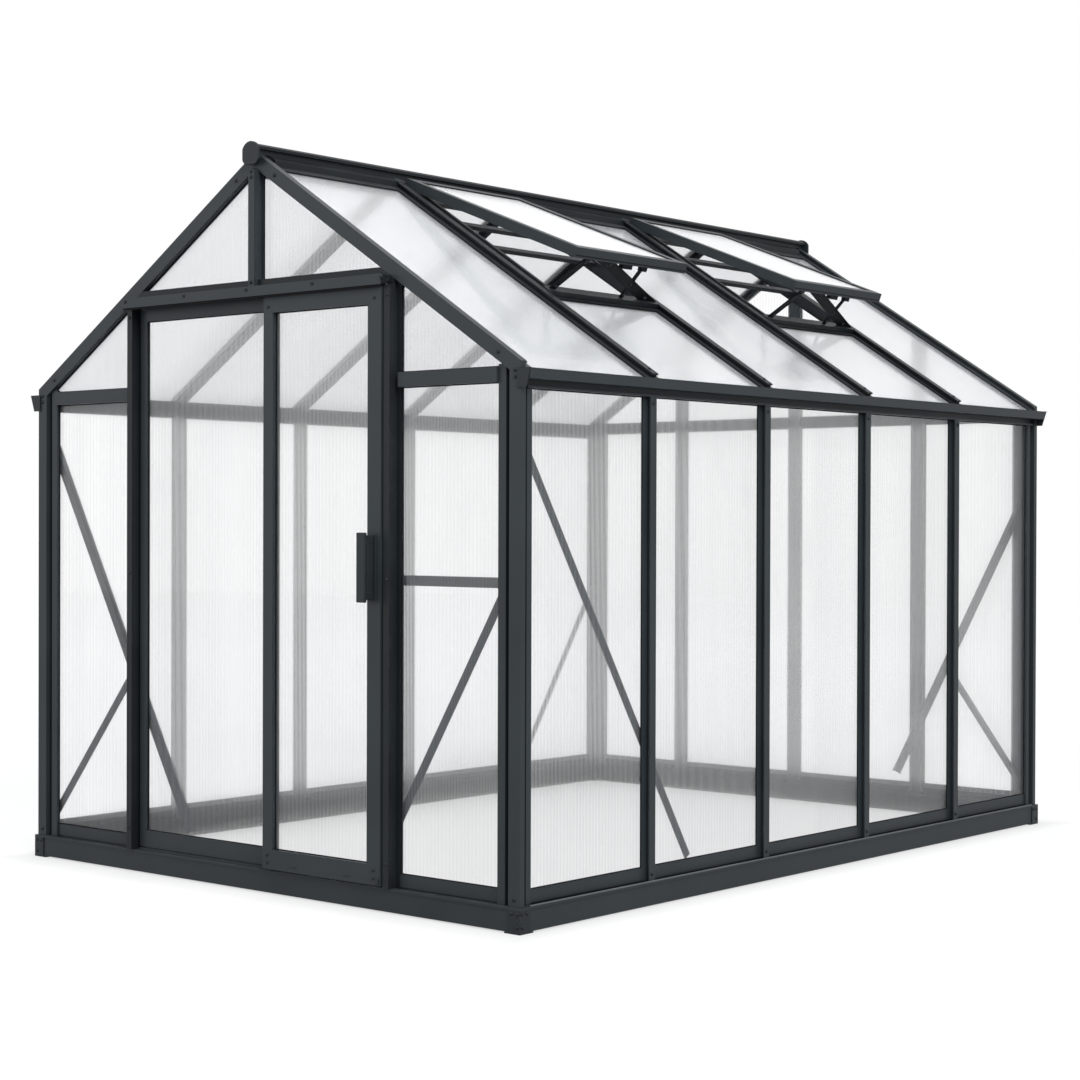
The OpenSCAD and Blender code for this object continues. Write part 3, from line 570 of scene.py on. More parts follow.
@dataclass(frozen=True)
class Layout:
    """The building's lines in metres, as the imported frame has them.

    Heights start at the ground and x at the middle. Hinge and sill_end run down the slope from
    the apex, and vent_low starts at a leaf's plane. Face is the gable rafters' depth, flange half
    a glazing bar's width, sheet_in the way from a wall's plane to its sheet, and end_extra the
    way from a gable's plane to the first bar line.
    """

    half_w: float = 1.125
    half_l: float = 1.55
    base: float = 0.075
    sill: float = 0.119
    eave: float = 1.628
    pitch: float = math.radians(32.5)
    face: float = 0.044
    flange: float = 0.033
    sheet_in: float = 0.0283
    end_extra: float = 0.012
    bays: int = 5
    corner_front: float = 0.101
    corner_side: float = 0.067
    plate_low: float = 1.558
    eave_bar: Pair = (1.576, 1.620)
    door_x: float = 0.587
    post_x: float = 0.612
    proud: float = 0.009
    rear_x: float = 0.597
    hinge: float = 0.05306
    vent_len: float = 0.805
    vent_open: float = math.radians(11.2)
    vent_half: float = 0.2886
    vent_low: float = -0.015
    vent_bar: float = 0.034
    sill_end: float = 0.8201
    vent_bays: tuple[int, ...] = (1, 3)

    @property
    def apex(self) -> float:
        """Height of the roof planes' meeting line."""
        return self.eave + self.half_w * math.tan(self.pitch)

    @property
    def slope_len(self) -> float:
        """Length of a slope from the apex to the side wall's plane."""
        return self.half_w / math.cos(self.pitch)

    @property
    def bay(self) -> float:
        """Spacing of the bars along the side walls."""
        return 2 * (self.half_l - self.end_extra) / self.bays

    @property
    def header(self) -> float:
        """Underside of the header."""
        return self.roof_z(self.post_x, self.face)

    def bar_y(self, k: int) -> float:
        """Position of bar line k along the building."""
        return -self.half_l + self.end_extra + k * self.bay

    def roof_z(self, x: float, below: float) -> float:
        """Height at x of the line that lies below the roof plane by the given depth."""
        return self.apex - abs(x) * math.tan(self.pitch) - below / math.cos(self.pitch)

    def roof_x(self, z: float, below: float) -> float:
        """The x at which that line has the height z."""
        return (self.apex - below / math.cos(self.pitch) - z) / math.tan(self.pitch)

    def wall(self, side: int) -> Matrix:
        """Place on a side wall's sheet: x runs along the building, y up, z out of it.

        Args:
            side: 1 for the wall at +X, -1 for the other.

        Returns:
            The place.
        """
        out = Vector((side, 0.0, 0.0))
        skin = side * (self.half_w - self.sheet_in)
        return basis(Vector(BACK), Vector(UP), out, (skin, 0.0, 0.0))

    def gable(self, end: int, y: float) -> Matrix:
        """Place on a sheet of a gable, at y: x runs to the right, y up, z out of the building."""
        return basis(Vector(RIGHT), Vector(UP), Vector((0.0, end, 0.0)), (0.0, y, 0.0))

    def slope(self, side: int) -> Matrix:
        """Place on a slope: x runs down it from the apex, y along the ridge, z out of it.

        Args:
            side: 1 for the slope at +X, -1 for the other.

        Returns:
            The place.
        """
        across = Vector((side * math.cos(self.pitch), 0.0, -math.sin(self.pitch)))
        out = Vector((side * math.sin(self.pitch), 0.0, math.cos(self.pitch)))
        return basis(across, Vector(BACK), out, (0.0, 0.0, self.apex))

    def vent(self, k: int) -> Matrix:
        """Place of the vent in bay k before it swings: x down the slope, y from its middle."""
        return self.slope(1) @ Matrix.Translation((0.0, self.bar_y(k) + self.bay / 2, 0.0))

    def leaf(self, k: int) -> Matrix:
        """Place of the open leaf of that vent, with its hinge line at the origin."""
        swing = Matrix.Rotation(-self.vent_open, 4, "Y")
        return self.vent(k) @ Matrix.Translation((self.hinge, 0.0, 0.0)) @ swing

    def side_bay(self, k: int, corner: float, bar: float) -> Pair:
        """Range along the building of a side bay.

        Args:
            k: The bay's number, from the front.
            corner: How far it is set back at the building's corners.
            bar: How far it is set back at the bars.

        Returns:
            Its front and back ends.
        """
        low = -self.half_l + corner if k == 0 else self.bar_y(k) + bar
        high = self.half_l - corner if k == self.bays - 1 else self.bar_y(k + 1) - bar
        return low, high


LAYOUT = Layout()


# ---- Fasteners, seals and fittings ----


@dataclass(frozen=True)
class Screw:
    """A pan-head screw on a washer, with a six-sided drive.

    Head, washer and drive are radii, and sunk is how far the washer reaches into its seat.
    """

    head: float = 0.0052
    height: float = 0.0034
    washer: float = 0.0066
    drive: float = 0.0024
    rim: float = 0.0011
    sunk: float = 0.0006
    steps: int = 12

    def add(self, piece: Piece, place: Matrix) -> None:
        """Adds the screw to a piece.

        Args:
            piece: The piece that takes it.
            place: Where it stands, with z out of the surface.
        """
        rim, height = self.rim, self.height
        profile = [
            (0.0, rim + 0.45 * height), (self.drive, rim + 0.45 * height),
            (self.drive, rim + height), (0.62 * self.head, rim + height),
            (0.9 * self.head, rim + 0.72 * height), (self.head, rim + 0.3 * height),
            (self.head, rim), (self.washer, rim), (self.washer, -self.sunk), (0.0, -self.sunk),
        ]
        piece.revolve(profile, place, self.steps)


@dataclass
class Fasteners:
    """The screws that hold the bars, shoes, track, ridge and braces together.

    Each tuple places a row: king from the apex down and from the header up, post from the sill
    and from the header, track out of the gable and above the header, corner from the side, the
    base and the eave bar's edges, rear from the base, the eave bar and the rafter, shoe in from
    the corner and up, side from the base and the eave beam, slope from the apex and the eave.
    """

    screw: Screw = Screw()
    inset: float = 0.008
    king: Trio = (0.064, 0.082, 0.028)
    post: Trio = (0.03, 1.0, 0.05)
    post_in: float = 0.0135
    track_x: tuple[float, ...] = (0.597, 0.3, 0.0)
    track: Pair = (0.030, 0.002)
    corner: Trio = (0.03, 0.022, 0.012)
    rear: Trio = (0.024, 0.02, 0.016)
    rear_half: float = 0.015
    rafter_x: tuple[float, ...] = (0.09, 1.03)
    rafter: float = 0.022
    shoe: tuple[Pair, ...] = ((0.033, 0.058), (0.012, 0.058), (0.012, 0.02))
    side: Pair = (0.024, 0.02)
    slope: Pair = (0.062, 0.03)
    spots: list[tuple[Point, Point]] = field(default_factory=list)

    def put(self, point: Point, out: Point, both_sides: bool = True,
            both_ends: bool = False) -> None:
        """Notes a screw and its mirror images.

        Args:
            point: Where it stands.
            out: The direction that it faces.
            both_sides: Whether it repeats on the other side of the building.
            both_ends: Whether it repeats at the other gable.
        """
        for sx in (1, -1) if both_sides else (1,):
            for sy in (1, -1) if both_ends else (1,):
                self.spots.append(((sx * point[0], sy * point[1], point[2]),
                                   (sx * out[0], sy * out[1], out[2])))

    def column(self, x: float, y: float, heights: Sequence[float], ends: bool = False) -> None:
        """Notes screws above one another that face the front, and their mirror images."""
        for z in heights:
            self.put((x, y, z), FRONT, x > 0, ends)

    def front(self) -> None:
        """Screws of the kingpost, the door posts and the track."""
        at = LAYOUT
        y = -at.half_l - at.proud
        high, low, foot = self.king
        self.column(0.0, y, (at.apex - high, at.apex - low, at.header + foot))
        low, middle, high = self.post
        self.column(at.door_x + self.post_in, y, (at.sill + low, middle, at.header - high))
        for x in self.track_x:
            self.column(x, -at.half_l - self.track[0], (at.header + self.track[1],))

    def gables(self) -> None:
        """Screws that both gables have, and those of the rear posts."""
        at = LAYOUT
        y = -at.half_l + self.inset
        low, high = at.eave_bar
        aside, rise, edge = self.corner
        self.column(at.half_w - aside, y, (at.base + rise, low + edge, high - edge), True)
        foot, middle, top = self.rear
        for x in (0.0, at.rear_x):
            for z in (at.base + foot, low + middle, at.roof_z(x + self.rear_half, at.face) - top):
                self.put((x, -y, z), BACK, x > 0)
        for x in self.rafter_x:
            self.column(x, y, (at.roof_z(x, self.rafter),), True)
        for along, z in self.shoe:
            self.column(at.half_w - along, -at.half_l, (z,), True)

    def walls(self) -> None:
        """Screws in the side walls and in the shoes' sides."""
        at = LAYOUT
        for k in range(1, at.bays):
            for z in (at.base + self.side[0], at.plate_low - self.side[1]):
                self.put((at.half_w - self.inset, at.bar_y(k), z), RIGHT)
        for along, z in self.shoe:
            self.put((at.half_w, -at.half_l + along, z), RIGHT, True, True)

    def roof(self) -> None:
        """Screws in the rafters, at the ridge and at the eaves."""
        at = LAYOUT
        for side in (1, -1):
            slope = at.slope(side)
            out = slope.to_3x3() @ Vector(UP)
            for k in range(1, at.bays):
                for x in (self.slope[0], at.slope_len - self.slope[1]):
                    point = slope @ Vector((x, at.bar_y(k), 0.0))
                    self.spots.append((tuple(point), tuple(out)))

    def build(self) -> None:
        """Builds all the screws as one piece."""
        self.front()
        self.gables()
        self.walls()
        self.roof()
        piece = Piece("frame_screws")
        for point, out in self.spots:
            self.screw.add(piece, facing(point, out))
        piece.finish("screw", smooth=True)


@dataclass
class Seals:
    """The dark glazing beads between the bars and the sheets, as four pieces.

    A bead is width by height, tucked under its bar. Each skin is a sheet's outer face, from its
    roof, leaf or gable plane. The other sizes place the edges of panes, from the middle, from the
    header's underside or from the edges of the leaf.
    """

    width: float = 0.0034
    height: float = 0.0026
    tuck: float = 0.0004
    lift: float = 0.0002
    door_bay: float = 0.630
    king_edge: float = 0.022
    header_top: float = 0.036
    short: float = 0.2
    panel_x: Pair = (-0.544, 0.0555)
    panel_z: Pair = (0.140, 0.064)
    roof_corner: float = 0.058
    ridge_edge: float = 0.0835
    eave_gap: float = 0.002
    roof_skin: float = -0.0203
    vent_skin: float = 0.0142
    leaf_skin: float = 0.001
    leaf_x: Pair = (0.043, 0.056)
    leaf_z: float = 0.062
    brush: Pair = (0.0035, 0.002)

    def run(self, piece: Piece, start: Vector, end: Vector, out: Vector, lean: Vector) -> None:
        """Adds one bead along a bar.

        Args:
            piece: The piece that it joins.
            start: One end, on the sheet at the bar's edge.
            end: The other end.
            out: The direction out of the sheet.
            lean: The direction from the bar over the sheet.
        """
        along = end - start
        place = basis(lean.normalized(), out.normalized(), along.normalized(), start)
        w, h = self.width, self.height
        outline = [(-self.tuck, self.lift), (w, self.lift), (0.9 * w, 0.35 * h),
                   (0.5 * w, 0.8 * h), (-self.tuck, h)]
        piece.prism(outline, place, along.length)

    def pane(self, piece: Piece, place: Matrix, shape: Sequence[Pair], skin: float = 0.0,
             bare: int | None = None) -> None:
        """Adds beads all round a pane.

        Args:
            piece: The piece that they join.
            place: The pane's place, with z out of it.
            shape: Its corners in the place's x and y.
            skin: Its height in the place's z.
            bare: The edge that gets no bead, counted from the first corner.
        """
        out = place.to_3x3() @ Vector(UP)
        corners = [place @ Vector((x, y, skin)) for x, y in shape]
        middle = sum(corners, Vector()) / len(corners)
        for i, start in enumerate(corners):
            if i == bare:
                continue
            end = corners[(i + 1) % len(corners)]
            along = (end - start).normalized()
            lean = middle - start
            self.run(piece, start, end, out, lean - along * lean.dot(along))

    def walls(self) -> None:
        """Builds the beads of the side walls."""
        at = LAYOUT
        piece = Piece("wall_seals")
        for side in (1, -1):
            for k in range(at.bays):
                y = at.side_bay(k, at.corner_side, at.flange)
                self.pane(piece, at.wall(side), rectangle(y, (at.sill, at.plate_low)))
        piece.finish("rubber")

    def gables(self) -> None:
        """Builds the beads of the gables and of the fixed panel beside the door."""
        at = LAYOUT
        piece = Piece("gable_seals")
        tall = (at.sill, at.eave_bar[0])
        corner = at.half_w - at.corner_front
        bays = {-1: [(self.door_bay, corner)],
                1: [(at.flange, at.rear_x - at.flange), (at.rear_x + at.flange, corner)]}
        for end, ranges in bays.items():
            place = at.gable(end, end * (at.half_l - at.sheet_in))
            for side in (1, -1):
                for low, high in ranges:
                    self.pane(piece, place, rectangle((side * low, side * high), tall))
                    shape = self.below_roof(side, low, high, at.eave_bar[1])
                    self.pane(piece, place, shape)
                if end < 0:
                    low = at.header + self.header_top
                    shape = self.below_roof(side, self.king_edge, at.post_x, low)
                    self.pane(piece, place, shape)
        panel = rectangle(self.panel_x, (self.panel_z[0], at.header - self.panel_z[1]))
        self.pane(piece, at.gable(-1, -at.half_l + at.sheet_in), panel)
        piece.finish("rubber")

    def below_roof(self, side: int, inner: float, outer: float, low: float) -> list[Pair]:
        """Gives the shape of a pane that ends under a gable rafter.

        Args:
            side: 1 for the right, -1 for the left.
            inner: Its edge towards the middle.
            outer: Its edge towards the side wall, unless the rafter comes down before it.
            low: Its lower edge.

        Returns:
            Its corners in the gable's place.
        """
        at = LAYOUT
        reach = at.roof_x(low, at.face)
        if outer < at.half_w - self.short:
            reach = min(outer, reach)
        shape = [(inner, low), (reach, low)]
        top = at.roof_z(reach, at.face)
        if top > low + 0.001:
            shape.append((reach, top))
        shape.append((inner, at.roof_z(inner, at.face)))
        return [(side * x, z) for x, z in shape]

    def roof(self) -> None:
        """Builds the beads of the roof sheets and of the vent panes."""
        at = LAYOUT
        piece = Piece("roof_seals")
        eave = at.slope_len - self.eave_gap
        for side in (1, -1):
            for k in range(at.bays):
                y = at.side_bay(k, self.roof_corner, at.flange)
                top = at.sill_end if side > 0 and k in at.vent_bays else self.ridge_edge
                shape = ((top, y[0]), (top, y[1]), (eave, y[1]), (eave, y[0]))
                self.pane(piece, at.slope(side), shape, self.roof_skin, bare=2)
        half = at.vent_half - at.vent_bar
        shape = rectangle((at.vent_bar, at.vent_len - at.vent_bar), (-half, half))
        for k in at.vent_bays:
            self.pane(piece, at.leaf(k), shape, self.vent_skin)
        piece.finish("rubber", "roof_sheet")

    def door(self) -> None:
        """Builds the beads of the sliding leaf and its brush."""
        at = LAYOUT
        piece = Piece("door_seals")
        low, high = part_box("door_stiles")
        across = (low.x + self.leaf_x[0], high.x - self.leaf_x[1])
        shape = rectangle(across, (low.z + self.leaf_z, high.z - self.leaf_z))
        self.pane(piece, at.gable(-1, -at.half_l + self.leaf_skin), shape)
        foot = (high.x - 0.0005, -at.half_l + 0.004, low.z + 0.004)
        reach, half = self.brush
        outline = [(-0.0005, -half), (reach, -half / 2), (reach, half / 2), (-0.0005, half)]
        piece.prism(outline, facing(foot, UP, BACK), high.z - low.z - 0.008)
        piece.finish("rubber", body=Body.LEAF)

    def build(self) -> None:
        """Builds all the beads."""
        self.walls()
        self.gables()
        self.roof()
        self.door()


@dataclass(frozen=True)
class Block:
    """A small block with rounded edges."""

    size: Point
    radius: float

    def add(self, piece: Piece, place: Matrix | Point) -> None:
        """Adds the block to a piece."""
        piece.soft_box(place, self.size, self.radius)


@dataclass
class Ridge:
    """The tabs that tie the rafters to the ridge, each half sunk in its rafter."""

    tab: Block = Block((0.030, 0.036, 0.005), 0.0012)
    down: float = 0.034

    def build(self) -> None:
        """Builds the tabs."""
        at = LAYOUT
        piece = Piece("ridge_tabs")
        for side in (1, -1):
            slope = at.slope(side)
            for k in range(1, at.bays):
                self.tab.add(piece, slope @ Matrix.Translation((self.down, at.bar_y(k), 0.0)))
        piece.finish("frame")


@dataclass
class VentFittings:
    """The bolts on the vents' stays, and the brackets and lip under their leaves.

    Foot and head are the stays' ends, down the slope and out of it. Each bolt has its stay's ends
    as shares of half the bay, and its place from foot to head. Each latch has its place along the
    ridge and its length. Latch and lip give depth, height and edge radius.
    """

    foot: float = 0.7876
    head: Pair = (0.8398, 0.1405)
    kerb_top: float = 0.003
    proud: float = 0.0025
    screw: Screw = Screw(head=0.006, washer=0.0078)
    bolts: tuple[Trio, ...] = (
        (-0.93, -0.8, 0.93), (-0.93, -0.8, 0.08), (0.88, -0.46, 0.93), (0.88, -0.46, 0.08),
        (0.36, 0.24, 0.93), (0.36, 0.24, 0.08), (0.3, 0.3, 0.43),
    )
    latches: tuple[Pair, ...] = ((-0.02, 0.052), (0.07, 0.03))
    latch: Trio = (0.018, 0.016, 0.002)
    lip: Trio = (0.004, 0.0035, 0.001)

    def bolt(self, piece: Piece, vent: Matrix) -> None:
        """Adds the bolts of one vent.

        Args:
            piece: The piece that takes them.
            vent: The vent's place.
        """
        at = LAYOUT
        run = Vector((self.head[0] - self.foot, 0.0, self.head[1] - self.kerb_top))
        ahead = Vector((run.z, 0.0, -run.x)).normalized()
        out = tuple(vent.to_3x3() @ ahead)
        half = at.bay / 2 - at.flange
        for foot, head, part in self.bolts:
            point = Vector((self.foot, half * foot, self.kerb_top)) + run * part
            point.y = half * (foot + (head - foot) * part)
            point += ahead * self.proud
            self.screw.add(piece, facing(tuple(vent @ point), out))

    def bracket(self, piece: Piece, leaf: Matrix) -> None:
        """Adds the brackets and the lip of one leaf.

        Args:
            piece: The piece that takes them.
            leaf: The leaf's place.
        """
        at = LAYOUT
        deep, high, radius = self.latch
        for y, wide in self.latches:
            place = leaf @ Matrix.Translation((at.vent_len - 0.008, y, at.vent_low - 0.006))
            piece.soft_box(place, (deep, wide, high), radius)
        deep, high, radius = self.lip
        place = leaf @ Matrix.Translation((at.vent_len - 0.001, 0.0, at.vent_low + 0.008))
        piece.soft_box(place, (deep, 2 * at.vent_half - 0.001, high), radius)

    def build(self) -> None:
        """Builds the bolts and brackets of both vents."""
        bolts = Piece("vent_bolts")
        brackets = Piece("vent_brackets")
        for k in LAYOUT.vent_bays:
            self.bolt(bolts, LAYOUT.vent(k))
            self.bracket(brackets, LAYOUT.leaf(k))
        bolts.finish("screw", "stay_steel", smooth=True)
        brackets.finish("stay", "stay_steel")


@dataclass
class Door:
    """The pull handle, the leaf's screws and guides, and the track's end stop and painted shadow
    strip.

    Web and plate end with how much shorter than the grip they are. Screw_x and screw_z start at
    the leaf's edges, and grip_z is the height of the handle's middle and its screws' distance from
    there. Stop and brush, the dark strip of painted shadow under the hood, end with their height
    and edge radius.
    """

    wide: float = 0.035
    bar: float = 0.012
    leg: float = 0.028
    leg_in: float = 0.006
    web: Trio = (0.012, 0.026, 0.018)
    plate: Pair = (0.003, 0.012)
    screw: Screw = Screw(head=0.0045, washer=0.0052)
    screw_x: Pair = (0.0215, 0.028)
    screw_z: Trio = (0.02, 0.044, 0.044)
    grip_z: Pair = (1.037, 0.085)
    guide: Block = Block((0.026, 0.0016, 0.007), 0.0007)
    guide_x: float = 0.14
    catch: Block = Block((0.014, 0.006, 0.018), 0.0015)
    stop: Trio = (0.005, 0.029, 0.001)
    brush: Trio = (0.006, 0.0076, 0.001)

    def handle(self) -> None:
        """Builds the pull handle in place of the plain one."""
        low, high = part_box("door_handle")
        piece = Piece("pull_handle")
        wide, tall = self.wide, high.z - low.z
        x, z = low.x + wide / 2, (high.z + low.z) / 2
        piece.soft_box((x, low.y + self.bar / 2, z), (wide, self.bar, tall), 0.003)
        reach = self.leg_in + self.leg / 2
        leg = (wide - 0.006, high.y - low.y - 0.004, self.leg - 0.004)
        for leg_z in (high.z - reach, low.z + reach):
            piece.soft_box((x + 0.002, (low.y + high.y) / 2 + 0.002, leg_z), leg, 0.003)
        thick, deep, less = self.web
        piece.soft_box((x + 0.009, high.y - deep / 2, z), (thick, deep, tall - less), 0.002)
        thick, less = self.plate
        piece.soft_box((high.x - wide / 2, high.y - thick / 2, z), (wide, thick, tall - less),
                       0.0012)
        handle = piece.finish("handle", "handle_plastic", Body.LEAF)
        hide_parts("door_handle")

    def small_parts(self) -> None:
        """Builds the leaf's screws, its bottom guides and its catch."""
        low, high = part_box("door_stiles")
        screws = Piece("door_screws")
        for x in (low.x + self.screw_x[0], high.x - self.screw_x[1]):
            for z in (low.z + self.screw_z[0], low.z + self.screw_z[1], high.z - self.screw_z[2]):
                self.screw.add(screws, facing((x, low.y, z), FRONT))
        middle, reach = self.grip_z
        for z in (middle - reach, middle + reach):
            self.screw.add(screws, facing((high.x - 0.038, low.y - 0.003, z), FRONT))
        screws.finish("screw", body=Body.LEAF, smooth=True)
        guides = Piece("door_guides")
        for x in (low.x + self.guide_x, high.x - self.guide_x):
            self.guide.add(guides, (x, low.y - 0.0002, low.z + 0.016))
        self.catch.add(guides, (high.x - 0.012, low.y - 0.001, low.z + 0.012))
        guides.finish("handle", "roller_plastic", Body.LEAF)

    def track_end(self) -> None:
        """Builds the track's end stop, which closes the hood beside the leaf."""
        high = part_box("door_track")[1]
        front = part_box("door_track")[0].y
        piece = Piece("track_stop")
        thick, tall, radius = self.stop
        place = (high.x - 0.0028, (front + high.y) / 2 - 0.002, high.z - 0.0155)
        piece.soft_box(place, (thick, high.y - front - 0.006, tall), radius)
        # the darker coat paints shade on the stop inside the hood
        piece.finish("deep")

    def track_painted_shadow(self) -> None:
        """Builds the dark strip under the track's hood, painted shadow of the gap above the leaf.
        """
        low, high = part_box("door_track")
        piece = Piece("track_painted_shadow")
        deep, tall, radius = self.brush
        place = ((low.x + high.x) / 2, low.y + 0.0045, low.z - 0.0028)
        piece.soft_box(place, (high.x - low.x - 0.004, deep, tall), radius)
        # black, as painted shadow in the gap under the hood
        piece.finish("rubber")

    def build(self) -> None:
        """Builds the door's fittings."""
        self.handle()
        self.small_parts()
        self.track_end()
        self.track_painted_shadow()


@dataclass
class BaseTrim:
    """The drip beads along the side bases, painted lighter as a highlight, and dark strips under
    the sill rails that paint the shadow in the gap there.

    Bead and the painted shadow strip give width, height and edge radius.
    """

    end: float = 0.048
    bead: Trio = (0.007, 0.0045, 0.0018)
    bead_in: float = 0.0002
    painted_shadow_strip: Trio = (0.005, 0.006, 0.001)

    def build(self) -> None:
        """Builds the beads and the painted shadow strips as one piece each."""
        at = LAYOUT
        length = 2 * (at.half_l - self.end)
        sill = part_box("sill_rails_sides")[1].x
        beads = Piece("base_beads")
        painted_shadow_strips = Piece("sill_painted_shadow")
        for side in (1, -1):
            wide, tall, radius = self.bead
            place = (side * (at.half_w - wide / 2 - self.bead_in), 0.0, at.base + tall / 2)
            beads.soft_box(place, (wide, length, tall), radius)
            # dark strips under the sill rails: painted shadow of the gap
            wide, tall, radius = self.painted_shadow_strip
            place = (side * (sill + wide / 2), 0.0, at.base + tall / 2)
            painted_shadow_strips.soft_box(place, (wide, length, tall), radius)
        # the beads take the lighter bead coat: a painted highlight
        beads.finish("bead", "base_steel")
        painted_shadow_strips.finish("rubber")


class Dressing:
    """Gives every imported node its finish."""

    BY_SLOT: dict[str, str] = {
        "frame_aluminium": "frame", "base_steel": "base", "shoe_steel": "shoe",
        "brace_aluminium": "brace", "stay_steel": "stay", "end_cap_plastic": "cap",
        "handle_plastic": "handle", "roller_plastic": "roller", "roof_sheet": "roof",
        "wall_sheet": "wall_x",
    }
    BY_NODE: dict[str, str] = {
        # the side walls' sheets take the darker copy of the wall sheet: painted shade
        "wall_sheets_left": "wall_y", "wall_sheets_right": "wall_y", "vent_sheets": "vent",
        # the door posts, header, rafters, vent sills and ridge beam take the darker coat: painted
        # shade
        "door_posts": "deep", "door_header": "deep", "roof_rafters_left": "deep",
        "roof_rafters_right": "deep", "vent_sills": "deep", "ridge_beam": "deep",
    }

    def build(self) -> None:
        """Assigns the finishes by the record's slots."""
        for row in frame["record"]["subparts"]:
            node = row["node"]
            finish = self.BY_NODE.get(node, self.BY_SLOT[row["material_slot"]])
            data = frame["nodes"][node].data
            data.materials.clear()
            data.materials.append(FINISHES[finish].build())
            log.info("%s: %s", node, finish)


# ---- Studio ----


@dataclass(frozen=True)
class Lamp:
    """A square lamp that faces an aim, with its side in metres and its power in watts."""

    name: str
    point: Point
    aim: Point
    size: float
    power: float

    def build(self) -> None:
        """Places the lamp."""
        data = bpy.data.lights.new(self.name, "AREA")
        data.energy = self.power
        data.size = self.size
        lamp = show(self.name, data)
        lamp.location = self.point
        away = Vector(self.aim) - Vector(self.point)
        lamp.rotation_euler = away.to_track_quat("-Z", "Y").to_euler()


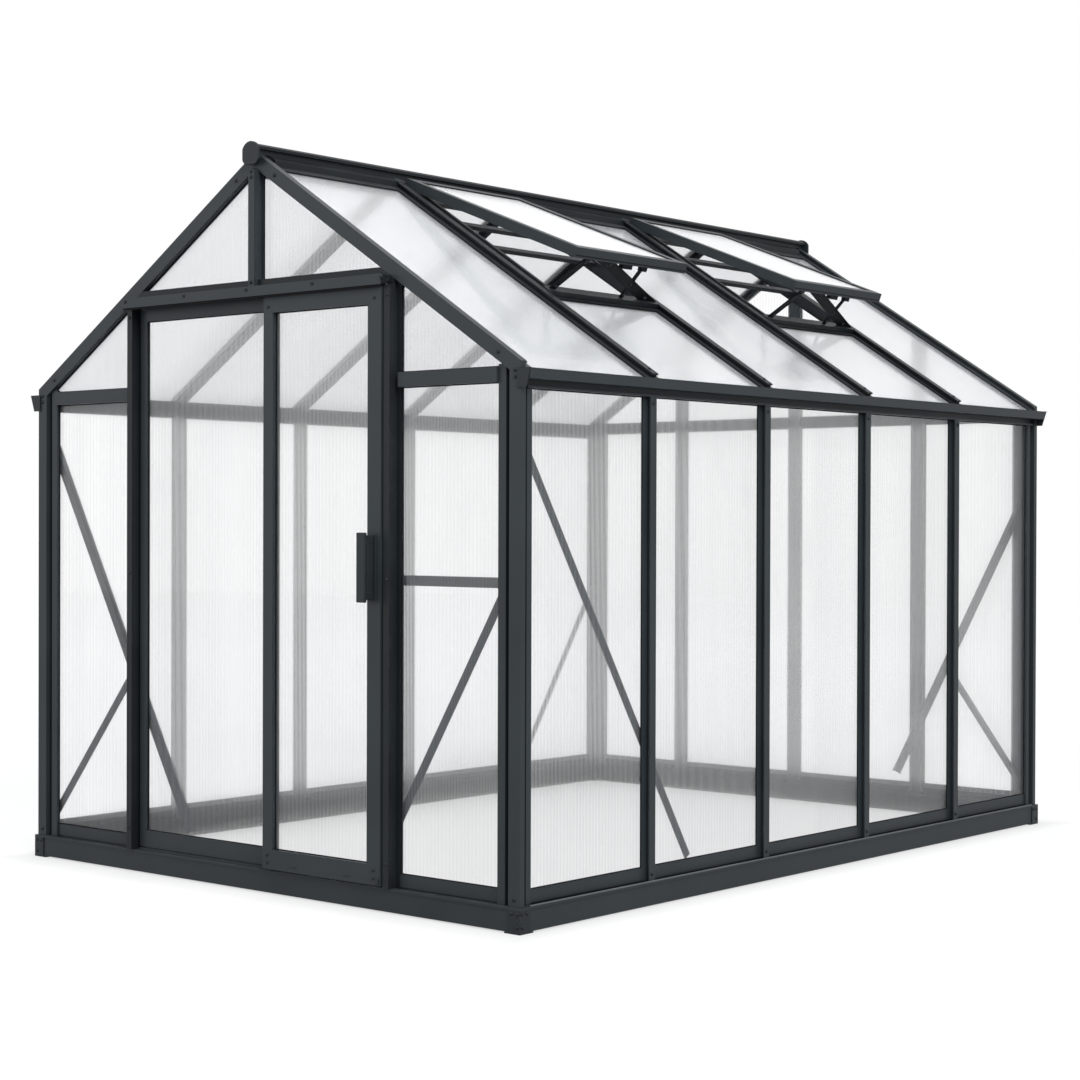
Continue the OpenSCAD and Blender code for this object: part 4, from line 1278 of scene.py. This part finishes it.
@dataclass
class Studio:
    """The floor, the lamps, the surroundings and the camera.

    The camera's angles are in radians. Rim bounds the zone where the floor's glow is lowered as
    painted shade under the greenhouse, in shares of half the building, near is the floor's light
    inside and outside it, and gain what it gains over the way far. Bounce lights the greenhouse
    from below, and grey keeps a faint shadow.
    """

    eye: Point = (5.1788, -6.2299, 1.1716)
    yaw: float = -0.7051
    pitch: float = -0.0078
    roll: float = 0.003
    lens: float = 72.8
    sensor: float = 36.0
    ambient: float = 0.55
    sky: Colour = (0.93, 0.96, 1.0)
    floor_size: float = 40.0
    floor_low: float = -0.0005
    rim: Pair = (0.96, 1.1)
    near: Pair = (0.57, 0.76)
    far: Pair = (3.0, 12.0)
    gain: float = 0.12
    bounce: float = 0.6
    grey: float = 0.22
    lamps: tuple[Lamp, ...] = (
        Lamp("key", (7.0, -4.5, 6.5), (0.0, 0.0, 1.0), 5.0, 900.0),
        Lamp("fill", (-5.5, -9.0, 5.0), (0.0, -0.5, 1.0), 9.5, 350.0),
        Lamp("back", (-3.0, 2.0, 12.5), (0.0, 0.0, 1.2), 6.0, 480.0),
    )

    def build(self) -> None:
        """Builds everything round the greenhouse, and shows colours as they are written."""
        bpy.context.scene.view_settings.view_transform = "Standard"
        self.camera()
        self.world()
        self.floor()
        for lamp in self.lamps:
            lamp.build()

    def camera(self) -> None:
        """Places the camera."""
        sin_y, cos_y = math.sin(self.yaw), math.cos(self.yaw)
        level = math.cos(self.pitch)
        ahead = Vector((sin_y * level, cos_y * level, math.sin(self.pitch)))
        right = Vector((cos_y, -sin_y, 0.0))
        above = right.cross(ahead)
        turned = math.cos(self.roll) * right + math.sin(self.roll) * above
        upright = math.cos(self.roll) * above - math.sin(self.roll) * right
        data = bpy.data.cameras.new("camera")
        data.lens = self.lens
        data.sensor_width = self.sensor
        camera = show("camera", data)
        camera.matrix_world = basis(turned, upright, -ahead, self.eye)
        bpy.context.scene.camera = camera

    def split(self, tree: Tree, output: str, lit: Node, seen: Node) -> None:
        """Ends a tree in one shader for light and another for sight.

        Args:
            tree: The tree.
            output: The type of its output node.
            lit: The shader that lights the greenhouse.
            seen: The shader for the rays that the camera, metal and glass see by.
        """
        path = tree.add("LightPath")
        both = tree.maths("MAXIMUM", path.outputs["Is Camera Ray"], path.outputs["Is Glossy Ray"])
        mask = tree.maths("MAXIMUM", both, path.outputs["Is Transmission Ray"])
        tree.add(output, {"Surface": tree.add("MixShader", {0: mask, 1: lit, 2: seen})})

    def world(self) -> None:
        """Makes the white surroundings and their soft light."""
        world = bpy.data.worlds.new("studio")
        tree = empty_tree(world)
        light = tree.add("Background", {"Color": (*self.sky, 1.0), "Strength": self.ambient})
        white = tree.add("Background", {"Color": (1.0, 1.0, 1.0, 1.0), "Strength": 1.0})
        self.split(tree, "OutputWorld", light, white)
        bpy.context.scene.world = world

    def floor_material(self) -> Material:
        """Makes the floor's finish: white far off, with painted shade inside the greenhouse.

        Returns:
            The finished material.
        """
        material = bpy.data.materials.new("floor")
        tree = empty_tree(material)
        white = (1.0, 1.0, 1.0, 1.0)
        place = tree.add("TexCoord").outputs["Object"]
        away = tree.add("VectorMath", {0: place}, operation="LENGTH").outputs["Value"]
        sides = tree.add("VectorMath", {0: place}, operation="ABSOLUTE")
        axes = tree.add("SeparateXYZ", {0: sides})
        inner = tree.maths("MAXIMUM", tree.maths("DIVIDE", axes.outputs[0], LAYOUT.half_w),
                           tree.maths("DIVIDE", axes.outputs[1], LAYOUT.half_l))
        # the glow is lower inside the greenhouse's footprint: painted shade under its roof
        strength = tree.maths("ADD", tree.ramp(inner, *self.rim, *self.near),
                              tree.ramp(away, *self.far, 0.0, self.gain))
        pale = tree.add("Emission", {"Color": white, "Strength": self.bounce})
        glow = tree.add("Emission", {"Color": white, "Strength": strength})
        faint = tree.add("BsdfDiffuse", {"Color": (self.grey, self.grey, self.grey, 1.0)})
        self.split(tree, "OutputMaterial", pale, tree.add("AddShader", {0: glow, 1: faint}))
        material.cycles.emission_sampling = "NONE"
        return material

    def floor(self) -> None:
        """Makes the pale floor, which keeps a faint shadow."""
        half, low = self.floor_size / 2, self.floor_low
        data = bpy.data.meshes.new("floor")
        corners = [(-half, -half, low), (half, -half, low), (half, half, low), (-half, half, low)]
        data.from_pydata(corners, [], [(0, 1, 2, 3)])
        data.materials.append(self.floor_material())
        floor = show("floor", data)


def main() -> None:
    """Builds the scene in order."""
    logging.basicConfig(level=logging.INFO, format="%(name)s: %(message)s")
    Studio().build()
    Dressing().build()
    for part in (Seals(), Fasteners(), Ridge(), VentFittings(), Door(), BaseTrim()):
        part.build()


if __name__ == "__main__":
    main()
